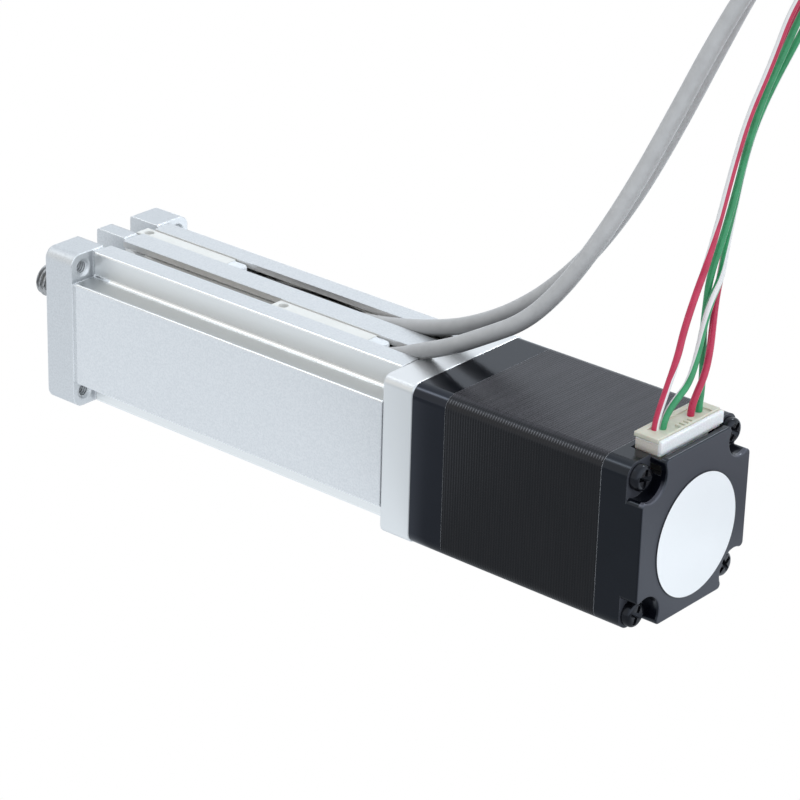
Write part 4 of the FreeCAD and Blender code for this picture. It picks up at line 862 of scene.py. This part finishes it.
def add_set_screws(finishes):
    """The slotted screw that clamps each switch in its groove."""
    foot, rim, half, reach, depth, above = 0.3, 0.15, 0.17, 2.0, 0.55, 0.2
    for name in ("near", "far"):
        low, high = node_box(f"{name}_switch_screw")
        x, y = (low[0] + high[0]) / 2, (low[1] + high[1]) / 2
        radius, top = (high[0] - low[0]) / 2, high[2] - SET_SCREW_DROP
        outline = [(low[2], radius - foot), (low[2] + foot, radius), (top - rim, radius),
                   (top, radius - rim)]
        rows = [upright_ring(x, y, z, size) for z, size in outline]
        slot = [[(x - half, y - reach, z), (x + half, y - reach, z), (x + half, y + reach, z),
                 (x - half, y + reach, z)] for z in (top - depth, top + above)]
        mesh = carved(f"{name}_set_screw", Shape().skin(rows).mesh("screw"),
                      Shape().skin(slot).mesh("slot"))
        screw = put(f"{name}_set_screw", mesh, "housing", finishes["stainless"].material)
        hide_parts(f"{name}_switch_screw")


def add_boots(finishes):
    """The soft end of each switch, rounded where its cable comes out."""
    steps = 12
    for name in ("near", "far"):
        low, high = node_box(f"{name}_switch_boot")
        middle, half, back = (low[1] + high[1]) / 2, BOOT_WIDTH / 2, low[0] + BOOT_SHORTER
        outline = [(low[2] + 0.3, 0.0), (high[2] - 0.35, 0.0), (high[2] - 0.1, 0.1),
                   (high[2], 0.35)]
        rows = []
        for height, inset in outline:
            reach = half - inset
            row = [(high[0], middle + reach, height)]
            for step in range(steps + 1):
                angle = math.radians(90.0 + 180.0 * step / steps)
                row.append((back + half + reach * math.cos(angle),
                            middle + reach * math.sin(angle), height))
            row.append((high[0], middle - reach, height))
            rows.append(row)
        mesh = Shape().skin(rows).mesh(f"{name}_cable_boot")
        boot = put(f"{name}_cable_boot", mesh, "housing", finishes["clear_boot"].material)
        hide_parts(f"{name}_switch_boot")


def add_cords():
    """Each cord in one smooth curve, from its hole to its end in the coil."""
    grey = make_jacket("cable_jacket", ((0.47, 0.46, 0.455), (0.53, 0.52, 0.515)), (0.3, 0.4),
                       below=(0.14, 0.14, 0.14))
    for name, own in (("near", NEAR_CABLE), ("far", FAR_CABLE)):
        route = own + wound(*CABLE_COILS[name])
        piece = cord_curve(f"{name}_cable", route, CABLE_DIAMETER, grey)
        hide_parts(f"{name}_switch_cable", f"{name}_cable_coil")
    red = ((0.46, 0.012, 0.06), (0.56, 0.025, 0.085))
    green = ((0.022, 0.24, 0.09), (0.035, 0.33, 0.13))
    white = (0.80, 0.78, 0.77)
    radius, start, top, bottom = WIRE_COIL
    for name, (side, level, own) in MOTOR_WIRES.items():
        route = list(own)
        for before, point, after in zip(WIRE_BUNDLE, WIRE_BUNDLE[1:], WIRE_BUNDLE[2:]):
            route.append(beside(before, point, after, side, level))
        step = WIRE_SPACING / 2
        route += wound(radius - side * step, start, top + level * step, bottom + level * step,
                       WIRE_TURNS[side])
        jacket = make_jacket(f"wire_{name}", red if "red" in name else green, (0.25, 0.38),
                             white if "white" in name else None)
        piece = cord_curve(f"wire_{name}", route, WIRE_DIAMETER, jacket)
        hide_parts(f"motor_wire_{name}", "motor_wire_coil")


def paint_nodes(finishes):
    """Give each CAD node the material of its slot, or one of its own.

    The cords' nodes take black plastic: other pieces replace them.
    """
    own = {"motor_rear_cover": "motor_cover", "lead_screw": "lead_screw",
           "near_switch": "switch_plastic", "far_switch": "switch_plastic"}
    slots = {part["node"]: part["material_slot"] for part in frame["record"]["subparts"]}
    for name, node in nodes.items():
        finish = finishes.get(own.get(name, slots[name]), finishes["black_plastic"])
        node.data.materials.clear()
        node.data.materials.append(finish.material)


def lobe(tree, direction, aim, tightness, strength):
    """A soft light: its brightness in a direction of the sky."""
    above = compute(tree, "MAXIMUM", likeness(tree, direction, Vector(aim).normalized()), 0.0)
    return compute(tree, "MULTIPLY", compute(tree, "POWER", above, tightness), strength)


def add_world():
    """A pale sky with soft lights, which the camera itself sees as plain white."""
    world = bpy.data.worlds.new("world")
    bpy.context.scene.world = world
    world.use_nodes = True
    tree = world.node_tree
    direction = place_of(tree, "Generated")
    glow = SKY_GLOW
    for aim, tightness, strength in LOBES:
        glow = compute(tree, "ADD", lobe(tree, direction, aim, tightness, strength), glow)
    camera = tree.nodes.new("ShaderNodeLightPath").outputs["Is Camera Ray"]
    background = tree.nodes["Background"]
    warm = spread(tree, lobe(tree, direction, WARM_AIM, 1.0, 1.0), 0.0, 1.0, *WARM_SPAN)
    tone = mix(tree, "RGBA", warm, SKY_TONE, SKY_WARM)
    color = mix(tree, "RGBA", camera, tone, WHITE)
    tree.links.new(color, background.inputs["Color"])
    tree.links.new(mix(tree, "FLOAT", camera, glow, 1.0), background.inputs["Strength"])


def add_floor():
    """A plain white floor that lights the object from below.

    In reflections it is brighter behind the object and darker beside the motor.
    """
    model = bmesh.new()
    bmesh.ops.create_grid(model, x_segments=1, y_segments=1, size=FLOOR_SIZE)
    mesh = bpy.data.meshes.new("floor")
    model.to_mesh(mesh)
    model.free()
    floor = bpy.data.objects.new("floor", mesh)
    floor.location.z = cad_box[0][2]
    bpy.context.scene.collection.objects.link(floor)
    material = bpy.data.materials.new("floor")
    material.use_nodes = True
    tree = material.node_tree
    tree.nodes.remove(tree.nodes["Principled BSDF"])
    glow = tree.nodes.new("ShaderNodeEmission")
    geometry = tree.nodes.new("ShaderNodeNewGeometry")
    along, across, _ = split(tree, geometry.outputs["Position"])
    behind = spread(tree, across, 1.0, 0.0, *BEHIND_SPAN)
    mirrored = compute(tree, "MULTIPLY_ADD", across, MIRROR_SLOPE, along)
    beside = both(tree, spread(tree, mirrored, 1.0, 0.0, *MOTOR_SPAN),
                  spread(tree, across, 0.0, 1.0, *SIDE_SPAN))
    strength = mix(tree, "FLOAT", beside, FLOOR_GLOW, FLOOR_BESIDE_MOTOR)
    strength = mix(tree, "FLOAT", behind, strength, FLOOR_BEHIND)
    rays = tree.nodes.new("ShaderNodeLightPath").outputs
    strength = mix(tree, "FLOAT", rays["Is Glossy Ray"], FLOOR_SOFT, strength)
    strength = mix(tree, "FLOAT", rays["Is Camera Ray"], strength, 1.0)
    tree.links.new(strength, glow.inputs["Strength"])
    color = mix(tree, "RGBA", rays["Is Camera Ray"], SKY_TONE, WHITE)
    tree.links.new(color, glow.inputs["Color"])
    output = tree.nodes["Material Output"]
    tree.links.new(glow.outputs[0], output.inputs["Surface"])
    mesh.materials.append(material)


set_camera()
add_cords()
finishes = {**make_metals(), **make_motor_paints(), **make_plastics(), "label": make_label_film()}
paint_nodes(finishes)
add_stud(finishes)
add_mount_threads(finishes)
add_motor_screws(finishes)
add_set_screws(finishes)
add_boots(finishes)
add_header(finishes)
add_plug(finishes)
add_world()
add_floor()
bpy.context.scene.view_settings.view_transform = "Standard"
